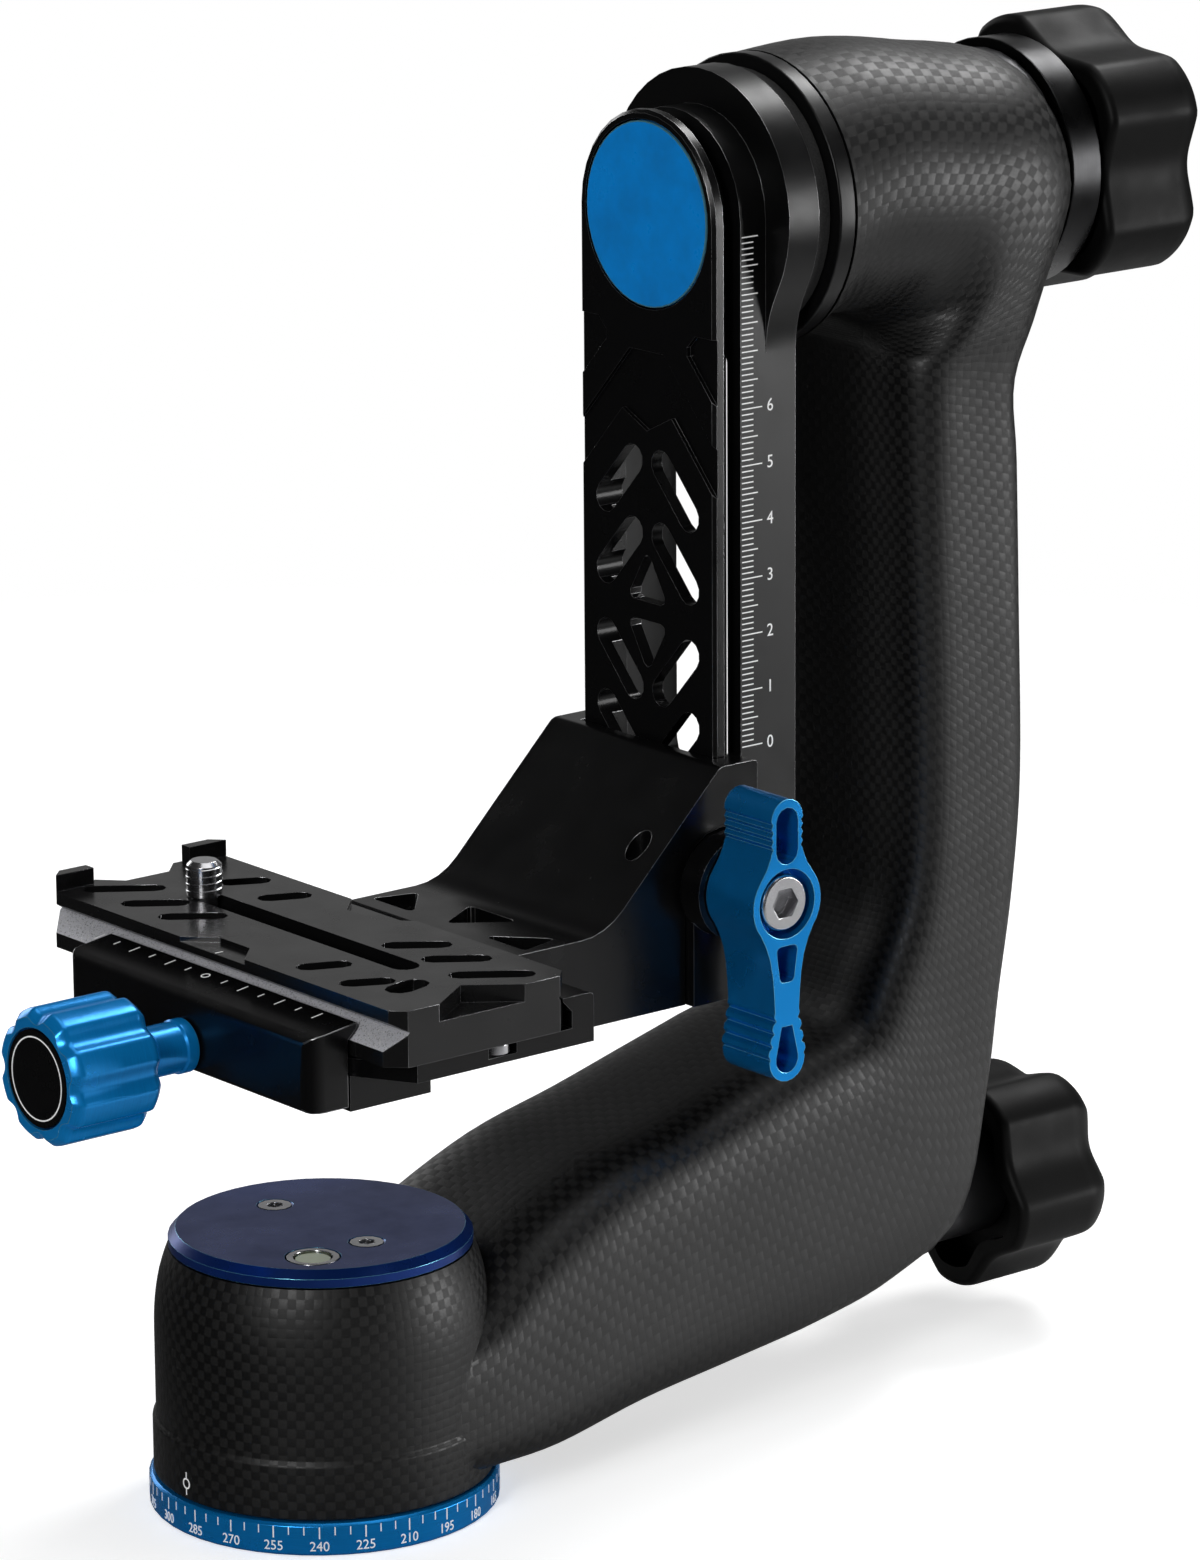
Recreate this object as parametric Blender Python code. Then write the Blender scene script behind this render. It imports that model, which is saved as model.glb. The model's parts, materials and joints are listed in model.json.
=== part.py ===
"""A gimbal tripod head, modelled piece by piece at its real size.

The origin is the pan axis at the underside of the base. +Z is up, +X runs along the tilt
axis towards the arm, and +Y is the way a lens lies on the plate. Lengths are in metres.
"""

import math

import bmesh
import bpy
from mathutils import Matrix, Vector

MM = 0.001

# Clearances and cutting
GAP = 0.3 * MM
OVERRUN = 1.0 * MM
MERGE = 0.002 * MM
SHARP_ANGLE = math.radians(32)

# Facets round a full turn
FINE_STEPS = 48
ROUND_STEPS = 32
SMALL_STEPS = 16
BEARING_STEPS = 20
SCREW_STEPS = 12
CORNER_STEPS = 4

# Pan base, spindle and what sits on the spindle
BASE_RADIUS = 30.4 * MM
BASE_HEIGHT = 5.8 * MM
BASE_EDGE = 0.5 * MM
BASE_HUB_RADIUS = 12.0 * MM
BASE_HUB_RISE = 7.9 * MM
SPINDLE_RADIUS = 9.9 * MM
SPINDLE_FLANGE_RADIUS = 16.0 * MM
SPINDLE_FLANGE_DEPTH = 2.8 * MM
SPINDLE_RECESS = 0.2 * MM
STUD_RADIUS = 4.76 * MM
STUD_DEPTH = 14.0 * MM
STUD_CHAMFER = 0.8 * MM
BEARING_OUTER = 16.0 * MM
BEARING_WIDTH = 7.0 * MM
BEARING_RACE = 1.5 * MM
BEARING_SHIELD = 0.6 * MM
DRUM_RADIUS = 13.5 * MM
DRUM_WIDTH = 10.9 * MM
NUT_RADIUS = 12.6 * MM
NUT_WIDTH = 2.2 * MM
NUT_SLOT = 3.0 * MM
BASE_SCREW_RING = 12.9 * MM
BASE_SCREW_COUNT = 4
BASE_SCREW_LENGTH = 5.0 * MM

# Countersunk screws: shank and head radius, and the depth of the cone
M3_RADIUS = 1.5 * MM
M3_HEAD = 3.0 * MM
M3_CONE = 1.6 * MM
M4_RADIUS = 2.0 * MM
M4_HEAD = 3.8 * MM
M4_CONE = 2.0 * MM
BASE_HEAD = 2.6 * MM
BASE_CONE = 1.2 * MM
SOCKET_SHARE = 0.5
SOCKET_DEPTH_SHARE = 0.8

LOWER_BEARING_Z = BASE_HEIGHT + BASE_HUB_RISE + GAP
DRUM_Z = LOWER_BEARING_Z + BEARING_WIDTH + GAP
LOCK_Z = DRUM_Z + 0.5 * DRUM_WIDTH
UPPER_BEARING_Z = DRUM_Z + DRUM_WIDTH + GAP
NUT_Z = UPPER_BEARING_Z + BEARING_WIDTH + GAP
SPINDLE_TOP = NUT_Z + NUT_WIDTH
BORE_RADIUS = SPINDLE_RADIUS + GAP

# Arm: boss over the base, neck, elbow, column and tilt housing
BOSS_RADIUS = 29.0 * MM
BOSS_TOP_RADIUS = 26.4 * MM
BOSS_SHOULDER = 16.0 * MM
COLLAR_PROUD = 0.6 * MM
COLLAR_HEIGHT = 10.2 * MM
BOSS_HEIGHT = 40.2 * MM
SLEEVE_WALL = 4.7 * MM
RING_HEIGHT = 2.6 * MM
TILT_HEIGHT = 216.5 * MM
ARM_REACH = 131.5 * MM
ARM_WIDTH = 45.0 * MM
COLUMN_DEPTH = 20.6 * MM
COLUMN_DISH = 2.4 * MM
HOUSING_RADIUS = 26.3 * MM
HOUSING_FACE_RADIUS = 25.7 * MM
HOUSING_INBOARD = 31.9 * MM
HOUSING_OUTBOARD = 21.0 * MM
ROD_RADIUS = 3.0 * MM
SHOE_RADIUS = 4.7 * MM
SHOE_LENGTH = 12.0 * MM
SHOE_BORE_DEPTH = 8.5 * MM
SHOE_TRAVEL = 1.0 * MM

BOSS_BOTTOM = BASE_HEIGHT + GAP
SLEEVE_BOTTOM = BOSS_BOTTOM + GAP
SLEEVE_INNER = BEARING_OUTER + GAP
SLEEVE_OUTER = SLEEVE_INNER + SLEEVE_WALL
ARM_BORE = SLEEVE_OUTER + GAP
BOSS_TOP = BOSS_BOTTOM + BOSS_HEIGHT
RING_Z = BOSS_TOP - RING_HEIGHT
SLEEVE_TOP = RING_Z - GAP
HOUSING_FACE_X = ARM_REACH - HOUSING_INBOARD
HOUSING_BACK_X = ARM_REACH + HOUSING_OUTBOARD
COLUMN_IN_X = ARM_REACH - 0.5 * COLUMN_DEPTH
COLUMN_OUT_X = ARM_REACH + 0.5 * COLUMN_DEPTH

# Cap on the boss, with its screws and the bubble level
CAP_RADIUS = 26.3 * MM
CAP_FACE_RADIUS = 25.0 * MM
CAP_RIM = 1.5 * MM
CAP_BEVEL = 1.4 * MM
CAP_SCREW_PLACE = 13.15 * MM
CAP_SCREW_LENGTH = 6.2 * MM
LEVEL_RADIUS = 4.6 * MM
LEVEL_WALL = 1.2 * MM
LEVEL_FLOOR = 0.7 * MM
LEVEL_DEPTH = 2.4 * MM
LEVEL_PLACE = 18.1 * MM
LEVEL_TURN = math.radians(229)

CAP_Z = BOSS_TOP + GAP
CAP_TOP = CAP_Z + CAP_RIM + CAP_BEVEL

# Tilt axle, its bearings and what lies between the arm and the swing plate
BRAKE_WIDTH = 3.0 * MM
BRAKE_RADIUS = 23.4 * MM
FACE_RING_WIDTH = 3.6 * MM
FACE_RING_RADIUS = 25.7 * MM
AXLE_FLANGE_RADIUS = 14.0 * MM
AXLE_FLANGE_WIDTH = 3.0 * MM
TILT_SCREW_RADIUS = 4.0 * MM
TILT_SCREW_GRIP = 18.0 * MM
THRUST_WASHER_WIDTH = 2.0 * MM

BRAKE_X = HOUSING_FACE_X - GAP - FACE_RING_WIDTH - GAP - BRAKE_WIDTH
PLATE_BACK_X = BRAKE_X - GAP
SLEEVE_IN_X = HOUSING_FACE_X + GAP
SLEEVE_OUT_X = HOUSING_BACK_X - GAP
INNER_BEARING_X = SLEEVE_IN_X + GAP
THRUST_WASHER_X = SLEEVE_OUT_X - THRUST_WASHER_WIDTH
OUTER_BEARING_X = THRUST_WASHER_X - GAP - BEARING_WIDTH
AXLE_END_X = THRUST_WASHER_X - GAP

# Swing plate and the dovetail rail on its face
PLATE_DEPTH = 12.5 * MM
PLATE_HALF = 18.0 * MM
PLATE_WALL = 3.6 * MM
HUB_RADIUS = 24.3 * MM
HUB_WIDTH = 6.8 * MM
HUB_FILLET = 22.0 * MM
SWING_BOTTOM_Z = 84.0 * MM
SLOT_BELOW_AXIS = 21.0 * MM
SLOT_FOOT = 30.0 * MM
RAIL_DEPTH = 5.8 * MM
RAIL_HALF = 18.2 * MM
RAIL_CHAMFER = 0.6 * MM
RAIL_LIP = 2.2 * MM
RAIL_FLANK = 3.6 * MM
DISC_RADIUS = 16.3 * MM
DISC_WIDTH = 1.4 * MM
HUB_SCREW_RING = 9.5 * MM
HUB_SCREW_COUNT = 4
RAIL_SCREW_PITCH = 13.0 * MM
RAIL_SCREW_EDGE = 8.0 * MM
RAIL_SCREW_SKIN = 2.5 * MM

PLATE_X = PLATE_BACK_X - PLATE_DEPTH
RAIL_BACK_X = PLATE_X - GAP
RAIL_X = RAIL_BACK_X - RAIL_DEPTH

# Windows in the rail: two rows of slanted slots each side of a pair of triangles
WINDOW_CENTRE_Z = 146.2 * MM
WINDOW_PITCH = 12.9 * MM
WINDOW_RADIUS = 2.7 * MM
WINDOW_IN = 3.9 * MM
WINDOW_OUT = 11.3 * MM
WINDOW_FALL = 8.0 * MM
WINDOW_FIRST = 5.8 * MM
TRIANGLE_HALF = 5.6 * MM
TRIANGLE_HEIGHT = 9.4 * MM
TRIANGLE_START = 1.7 * MM
TRIANGLE_CORNER = 1.1 * MM
WEB_DEPTH = 2.4 * MM
WEB_MARGIN = 4.2 * MM
WEB_SIDE = 1.8 * MM
RELIEF_DEPTH = 0.8 * MM
RELIEF_TOP_Z = 192.5 * MM
RELIEF_TOP_HALF = 4.6 * MM
RELIEF_BAND = 10.9 * MM
RELIEF_DIP = 3.2 * MM
RELIEF_KNEE = 6.7 * MM
RELIEF_SLOPE_SHARE = 1.07
SIDE_RELIEF_TOP_Z = 197.0 * MM
SIDE_RELIEF_IN = 11.0 * MM
SIDE_RELIEF_CUT = 2.2 * MM
SIDE_RELIEF_HEIGHT = 3.8 * MM

# Cradle bracket, which slides on the rail, and the jaw that clamps it
CRADLE_HALF = 23.2 * MM
CRADLE_BOTTOM_Z = 81.8 * MM
CRADLE_HEIGHT = 41.4 * MM
CRADLE_BEHIND_LIP = 3.3 * MM
CRADLE_HEAD_DEPTH = 8.4 * MM
CRADLE_HEAD_CORNER = 2.5 * MM
CRADLE_FILLET = 13.0 * MM
FOOT_RISE = 15.9 * MM
FOOT_LIP_CORNER = 0.8 * MM
FOOT_INCLINE_RUN = 25.8 * MM
FOOT_BEHIND_CLAMP = 0.3 * MM
CRADLE_TOE_CORNER = 1.5 * MM
CRADLE_EDGE = 1.0 * MM
FOOT_POCKET_DEPTH = 3.2 * MM
FOOT_POCKET_CORNER = 0.8 * MM
JAW_HEIGHT = 30.2 * MM
JAW_DEPTH = 16.2 * MM
JAW_PROUD = 2.0 * MM
JAW_INNER_Y = 18.6 * MM
JAW_CORNER = 8.0 * MM
JAW_BACK_CORNER = 2.0 * MM
JAW_BOSS_RADIUS = 9.0 * MM
JAW_BOSS_RISE = 4.0 * MM
GRUB_RADIUS = 2.0 * MM
GRUB_LENGTH = 5.0 * MM
GRUB_EDGE = 6.4 * MM
GRUB_RISE = 12.6 * MM
GRUB_SINK = 2.6 * MM
GRUB_SOCKET = 1.15 * MM

CRADLE_BACK_X = RAIL_X + RAIL_LIP + CRADLE_BEHIND_LIP
CRADLE_HEAD_X = CRADLE_BACK_X - CRADLE_HEAD_DEPTH
FOOT_INCLINE_X = CRADLE_HEAD_X - FOOT_INCLINE_RUN
CRADLE_TOP_Z = CRADLE_BOTTOM_Z + CRADLE_HEIGHT
FOOT_TOP_Z = CRADLE_BOTTOM_Z + FOOT_RISE
JAW_X = CRADLE_BACK_X - JAW_DEPTH
JAW_TOP_Z = CRADLE_BOTTOM_Z + JAW_HEIGHT

# Wing lever and its bolt
LEVER_INSET = 9.4 * MM
LEVER_RISE = 21.0 * MM
LEVER_WIDTH = 12.6 * MM
LEVER_HUB = 7.6 * MM
LEVER_UP = 18.6 * MM
LEVER_DOWN = 31.8 * MM
LEVER_ARM_HALF = 3.55 * MM
LEVER_NECK_HALF = 2.7 * MM
LEVER_TIP_HALF = 4.0 * MM
LEVER_RIB = 0.45 * MM
LEVER_RECESS_RADIUS = 6.2 * MM
LEVER_RECESS_DEPTH = 5.2 * MM
LEVER_SLOT_HALF = 2.45 * MM
LEVER_SLOT_LOW = 9.45 * MM
LEVER_SLOT_HIGH = 14.65 * MM
LEVER_MID_TOP = 7.5 * MM
LEVER_MID_BOTTOM = 14.0 * MM
LEVER_MID_HALF = 2.45 * MM
LEVER_MID_END_HALF = 1.5 * MM
LEVER_DROP_TOP = 21.9 * MM
LEVER_DROP_HALF = 1.2 * MM
LEVER_DROP_RADIUS = 2.5 * MM
LEVER_CORNER = 0.9 * MM
BOLT_RADIUS = 2.5 * MM
BOLT_HEAD_RADIUS = 5.0 * MM
BOLT_HEAD_HEIGHT = 4.4 * MM
BOLT_SOCKET = 2.9 * MM
BOLT_SOCKET_DEPTH = 2.6 * MM
BOLT_REACH = 32.0 * MM

LEVER_X = CRADLE_BACK_X - LEVER_INSET
LEVER_Z = CRADLE_BOTTOM_Z + LEVER_RISE
JAW_FACE_Y = -CRADLE_HALF - JAW_PROUD
JAW_BOSS_Y = JAW_FACE_Y - JAW_BOSS_RISE
LEVER_BACK_Y = JAW_BOSS_Y - GAP
LEVER_FACE_Y = LEVER_BACK_Y - LEVER_WIDTH

# Lens plate
LENS_RISE = 19.3 * MM
LENS_HEIGHT = 9.7 * MM
LENS_HALF = 18.3 * MM
LENS_DECK_EDGE = 2.2 * MM
LENS_NECK = 1.5 * MM
LENS_FLANK_HALF = 19.0 * MM
LENS_FLANK = 3.4 * MM
LENS_NEAR_Y = -46.5 * MM
LENS_FAR_Y = 53.0 * MM
LENS_CORNER = 3.0 * MM
LIP_LENGTH = 8.0 * MM
LIP_WIDTH = 2.4 * MM
LIP_HEIGHT = 3.0 * MM
NOTCH_DEPTH = 4.0 * MM
NOTCH_HALF = 8.4 * MM
NOTCH_FLAT_HALF = 4.6 * MM
NEAR_POCKET_LEFT = 9.5 * MM
NEAR_POCKET_RIGHT = 8.5 * MM
NEAR_POCKET_REACH = 6.5 * MM
NEAR_POCKET_DEPTH = 3.0 * MM
DECK_SLOT_RADIUS = 2.1 * MM
DECK_SLOT_DEPTH = 3.4 * MM
CAMERA_SLOT_HALF = 2.6 * MM
CAMERA_SLOT_LENGTH = 62.0 * MM
CAMERA_SLOT_END = 18.4 * MM
CAMERA_CHANNEL_HALF = 6.0 * MM
CAMERA_CHANNEL_DEPTH = 4.0 * MM
SIDE_STEP_DEPTH = 0.9 * MM
SIDE_STEP_IN = 4.8 * MM
SIDE_STEP_NEAR = 0.5 * MM
SIDE_STEP_FAR = 9.0 * MM
SIDE_STEP_SLANT = 6.0 * MM
STOP_RADIUS = 1.5 * MM
STOP_HEAD = 2.4 * MM
STOP_HEIGHT = 1.6 * MM
STOP_EDGE = 3.1 * MM
STOP_PLACE_X = 4.5 * MM
STOP_TRAVEL = 8.0 * MM
STOP_SINK = 4.0 * MM
NOTCH_SHIFT = 4.6 * MM

LENS_TOP_Z = CRADLE_BOTTOM_Z + LENS_RISE
LENS_BOTTOM_Z = LENS_TOP_Z - LENS_HEIGHT
LENS_NECK_HALF = LENS_FLANK_HALF - LENS_FLANK
CAMERA_SLOT_FAR_Y = LENS_FAR_Y - CAMERA_SLOT_END
CAMERA_SLOT_NEAR_Y = CAMERA_SLOT_FAR_Y - CAMERA_SLOT_LENGTH
CAMERA_SCREW_Y = CAMERA_SLOT_FAR_Y - CAMERA_SLOT_HALF

# Camera screw
CAMERA_SCREW_RADIUS = 3.1 * MM
CAMERA_NECK_RADIUS = 2.3 * MM
CAMERA_SCREW_PROUD = 6.2 * MM
CAMERA_SCREW_TIP = 0.8 * MM
CAMERA_HEAD_RADIUS = 5.4 * MM
CAMERA_HEAD_HEIGHT = 2.4 * MM
CAMERA_WASHER = 0.7 * MM
CAMERA_DRIVER_HALF = 0.6 * MM
CAMERA_DRIVER_DEPTH = 1.2 * MM

# Quick release clamp under the lens plate
CLAMP_HALF = 35.0 * MM
CLAMP_FLOOR = 3.1 * MM
CLAMP_END_REACH = 10.5 * MM
CLAMP_END_INSET = 6.0 * MM
CLAMP_WALL = 4.7 * MM
CLAMP_LIP = 1.9 * MM
CLAMP_LIP_EDGE = 0.6 * MM
CLAMP_KEEL_DEPTH = 6.2 * MM
CLAMP_KEEL_WIDTH = 16.8 * MM
CLAMP_EDGE = 0.8 * MM
STOP_POCKET_DEPTH = 1.9 * MM
STOP_POCKET_HALF = 3.0 * MM
CLAMP_BOLT_LENGTH = 8.0 * MM
SLIDER_OUT = 27.5 * MM
SLIDER_BOTTOM = 0.8 * MM
SLIDER_SHOULDER = 13.8 * MM
SLIDER_LIP = 15.2 * MM
SLIDER_END_RADIUS = 3.0 * MM
SLIDER_CORNER = 2.0 * MM
SLIDER_PLAY = 0.4 * MM
SLIDER_TRAVEL = 3.0 * MM
CLAMP_SCREW_RADIUS = 2.4 * MM
CLAMP_SCREW_GRIP = 14.0 * MM
CLAMP_SCREW_HOLD = 8.0 * MM
CLAMP_SCREW_DROP = 1.0 * MM
GUIDE_RADIUS = 1.8 * MM
GUIDE_PLACE = 22.0 * MM
GUIDE_LENGTH = 16.5 * MM
GUIDE_IN_JAW = 4.8 * MM
CLAMP_BOLT_PLACE = 13.0 * MM
CLAMP_BOLT_X = 9.0 * MM

CLAMP_TOP_Z = LENS_BOTTOM_Z - GAP
SLIDER_BOTTOM_Z = CRADLE_BOTTOM_Z + SLIDER_BOTTOM
SLIDER_SHOULDER_Z = CRADLE_BOTTOM_Z + SLIDER_SHOULDER
SLIDER_LIP_Z = CRADLE_BOTTOM_Z + SLIDER_LIP
CLAMP_BOTTOM_Z = CLAMP_TOP_Z - CLAMP_FLOOR
CLAMP_KEEL_Z = CLAMP_BOTTOM_Z - CLAMP_KEEL_DEPTH
SLIDER_IN = LENS_FLANK_HALF + GAP + SLIDER_PLAY
KEEL_X = -SLIDER_IN + GAP
TONGUE_X = KEEL_X + CLAMP_KEEL_WIDTH + GAP
CLAMP_IN_X = LENS_FLANK_HALF + GAP
CLAMP_OUT_X = CLAMP_IN_X + CLAMP_WALL
KNOB_Z = CLAMP_BOTTOM_Z - CLAMP_SCREW_DROP
GUIDE_X = -SLIDER_IN - GUIDE_IN_JAW
FOOT_BACK_X = CLAMP_OUT_X + FOOT_BEHIND_CLAMP

# Clamp knob
GRIP_RADIUS = 11.8 * MM
GRIP_LENGTH = 18.0 * MM
GRIP_FLUTES = 8
GRIP_FLUTE_DEPTH = 1.1 * MM
GRIP_BEVEL = 1.4 * MM
FLUTE_STEPS = 6
GRIP_NECK_RADIUS = 4.7 * MM
GRIP_NECK_LENGTH = 12.2 * MM
INSERT_RADIUS = 8.4 * MM
INSERT_WIDTH = 1.4 * MM
GRIP_NECK_X = -SLIDER_OUT - GAP
GRIP_X = GRIP_NECK_X - GRIP_NECK_LENGTH
GRIP_FACE_X = GRIP_X - GRIP_LENGTH

# Lock knobs on the arm
KNOB_LOBES = 5
KNOB_LOBE_STEPS = 8
KNOB_LOBE_POWER = 1.1
TILT_KNOB_RADIUS = 25.9 * MM
TILT_KNOB_LENGTH = 24.4 * MM
TILT_KNOB_VALLEY = 4.6 * MM
TILT_KNOB_TURN = math.radians(-16)
TILT_KNOB_REAR = 8.6 * MM
TILT_KNOB_EDGE = 6.8 * MM
TILT_COLLAR_RADIUS = 22.6 * MM
TILT_COLLAR_WIDTH = 7.0 * MM
TILT_COLLAR_NECK = 15.5 * MM
TILT_COLLAR_LENGTH = 14.2 * MM
PAN_KNOB_RADIUS = 20.5 * MM
PAN_KNOB_LENGTH = 24.7 * MM
PAN_KNOB_VALLEY = 3.5 * MM
PAN_KNOB_TURN = math.radians(33)
PAN_KNOB_REAR = 11.3 * MM
PAN_KNOB_EDGE = 8.0 * MM
PAN_COLLAR_RADIUS = 10.5 * MM
PAN_COLLAR_LENGTH = 16.0 * MM
PAN_PAD_OUT = 2.5 * MM
PAN_PAD_RADIUS = 12.0 * MM
PAN_PAD_ROOT = 22.0 * MM
KNOB_RIM_EDGE = 1.6 * MM
KNOB_WALL = 3.8 * MM
KNOB_GRIP = 12.0 * MM

TILT_COLLAR_X = HOUSING_BACK_X + GAP
PAN_PAD_X = ARM_REACH + PAN_PAD_OUT
TILT_KNOB_X = TILT_COLLAR_X + TILT_KNOB_REAR
PAN_COLLAR_X = PAN_PAD_X + GAP
PAN_KNOB_X = PAN_COLLAR_X + PAN_KNOB_REAR

AXES = {
    "X": Matrix.Rotation(math.pi / 2, 4, "Y"),
    "Y": Matrix.Rotation(-math.pi / 2, 4, "X"),
    "Z": Matrix.Identity(4),
}


# Helpers that make closed shapes in the world frame
def linked(name, bm):
    bmesh.ops.remove_doubles(bm, verts=bm.verts, dist=MERGE)
    bmesh.ops.recalc_face_normals(bm, faces=bm.faces)
    mesh = bpy.data.meshes.new(name)
    bm.to_mesh(mesh)
    bm.free()
    obj = bpy.data.objects.new(name, mesh)
    bpy.context.scene.collection.objects.link(obj)
    return obj


def turned(name, profile, axis="Z", centre=(0, 0, 0), steps=ROUND_STEPS):
    """A solid of revolution. The profile's points are (radius, place along the axis)."""
    bm = bmesh.new()
    points = [bm.verts.new((radius, 0, along)) for radius, along in profile]
    edges = [bm.edges.new((a, b)) for a, b in zip(points, points[1:])]
    if profile[0][0] > MERGE:
        edges.append(bm.edges.new((points[-1], points[0])))
    bmesh.ops.spin(
        bm, geom=points + edges, cent=(0, 0, 0), axis=(0, 0, 1), dvec=(0, 0, 0),
        angle=2 * math.pi, steps=steps, use_merge=True,
    )
    bmesh.ops.transform(bm, matrix=Matrix.Translation(centre) @ AXES[axis], verts=bm.verts)
    return linked(name, bm)


def ring(name, inner, outer, low, high, axis="Z", centre=(0, 0, 0), steps=ROUND_STEPS):
    profile = [(inner, low), (outer, low), (outer, high), (inner, high)]
    return turned(name, profile, axis, centre, steps)


def rod(name, radius, low, high, axis="Z", centre=(0, 0, 0), steps=SMALL_STEPS):
    profile = [(0, low), (radius, low), (radius, high), (0, high)]
    return turned(name, profile, axis, centre, steps)


def placed(axis, a, b, along):
    """A point from its two places across the axis and its place along it."""
    return {"X": (along, a, b), "Y": (a, along, b), "Z": (a, b, along)}[axis]


def lofted(name, rings):
    """A closed solid through rings that have the same number of points."""
    bm = bmesh.new()
    loops = [[bm.verts.new(point) for point in points] for points in rings]
    bm.faces.new(loops[0])
    bm.faces.new(list(reversed(loops[-1])))
    for lower, upper in zip(loops, loops[1:]):
        for i in range(len(lower)):
            j = (i + 1) % len(lower)
            bm.faces.new((lower[i], lower[j], upper[j], upper[i]))
    return linked(name, bm)


def extruded(name, outline, axis, low, high):
    """An outline across the axis, drawn out from low to high."""
    return lofted(name, [[placed(axis, a, b, along) for a, b in outline] for along in (low, high)])


def box(name, low, high):
    outline = [(low[0], low[1]), (high[0], low[1]), (high[0], high[1]), (low[0], high[1])]
    return extruded(name, outline, "Z", low[2], high[2])


def arc(centre, radius, start, end, steps):
    """Points on an arc, both ends included. The angles are in radians."""
    turn = (end - start) / steps
    return [
        (centre[0] + radius * math.cos(start + i * turn), centre[1] + radius * math.sin(start + i * turn))
        for i in range(steps + 1)
    ]


def circle(centre, radius, steps=SMALL_STEPS):
    return arc(centre, radius, 0, 2 * math.pi, steps)[:-1]


def capsule(start, end, radius, steps=6):
    """A slot's outline, round at both ends."""
    heading = math.atan2(end[1] - start[1], end[0] - start[0])
    quarter = math.pi / 2
    first = arc(end, radius, heading - quarter, heading + quarter, steps)
    second = arc(start, radius, heading + quarter, heading + 3 * quarter, steps)
    return first + second


def rounded(corners, steps=CORNER_STEPS):
    """An outline with round corners, from points (a, b, radius of the corner)."""
    outline = []
    for i, (a, b, radius) in enumerate(corners):
        here = Vector((a, b))
        if radius <= MERGE:
            outline.append((a, b))
            continue
        before = Vector(corners[i - 1][:2])
        after = Vector(corners[(i + 1) % len(corners)][:2])
        to_before = (before - here).normalized()
        to_after = (after - here).normalized()
        half = to_before.angle(to_after) / 2
        reach = radius / math.tan(half)
        centre = here + (to_before + to_after).normalized() * (radius / math.sin(half))
        first = here + to_before * reach - centre
        last = here + to_after * reach - centre
        start = math.atan2(first.y, first.x)
        sweep = (math.atan2(last.y, last.x) - start + math.pi) % (2 * math.pi) - math.pi
        outline += arc(centre, radius, start, start + sweep, steps)
    return outline


def baked(obj):
    """Replaces the object's mesh by what its modifiers make of it."""
    graph = bpy.context.evaluated_depsgraph_get()
    mesh = bpy.data.meshes.new_from_object(obj.evaluated_get(graph))
    obj.modifiers.clear()
    obj.data = mesh
    return obj


def combined(obj, tools, operation):
    for tool in tools:
        modifier = obj.modifiers.new(operation, "BOOLEAN")
        modifier.operation = operation
        modifier.solver = "EXACT"
        modifier.object = tool
    baked(obj)
    for tool in tools:
        bpy.data.objects.remove(tool)
    return obj


def cut(obj, *tools):
    return combined(obj, tools, "DIFFERENCE")


def fused(obj, *tools):
    return combined(obj, tools, "UNION")


def grouped(tools):
    """One cutter from several that lie clear of each other."""
    bm = bmesh.new()
    for tool in tools:
        bm.from_mesh(tool.data)
        bpy.data.objects.remove(tool)
    return linked("cutters", bm)


def bevelled(obj, width, angle=math.radians(40)):
    modifier = obj.modifiers.new("edges", "BEVEL")
    modifier.width = width
    modifier.segments = 1
    modifier.limit_method = "ANGLE"
    modifier.angle_limit = angle
    return baked(obj)


def hexagon_rod(name, radius, low, high, axis, centre):
    return rod(name, radius, low, high, axis, centre, steps=6)


def countersunk(name, radius, head, cone, length, top, way, axis, centre):
    """A countersunk screw with a hexagon socket. Its head's face is at top, its shank runs along way."""
    profile = [(0, top), (head, top), (radius, top + way * cone), (radius, top + way * length)]
    profile.append((0, top + way * length))
    screw = turned(name, profile, axis, centre, SCREW_STEPS)
    socket = SOCKET_SHARE * head
    depth = SOCKET_DEPTH_SHARE * cone
    ends = sorted((top - way * OVERRUN, top + way * depth))
    return cut(screw, hexagon_rod("socket", socket, *ends, axis, centre))


def countersink(radius, head, cone, length, top, way, axis, centre):
    """The hole that a countersunk screw sits in, a clearance larger all round."""
    wide = head + GAP
    slope = (head - radius) / cone
    run = (wide - radius - GAP) / slope
    profile = [(0, top - way * OVERRUN), (wide, top - way * OVERRUN), (wide, top)]
    profile += [(radius + GAP, top + way * run), (radius + GAP, top + way * (length + GAP))]
    profile.append((0, top + way * (length + GAP)))
    return turned("countersink", profile, axis, centre, SCREW_STEPS)


# Materials
def material(name, colour, roughness, metallic):
    made = bpy.data.materials.new(name)
    made.use_nodes = True
    shader = made.node_tree.nodes["Principled BSDF"]
    shader.inputs["Base Color"].default_value = (*colour, 1)
    shader.inputs["Roughness"].default_value = roughness
    shader.inputs["Metallic"].default_value = metallic
    made.diffuse_color = (*colour, 1)
    return made


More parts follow.
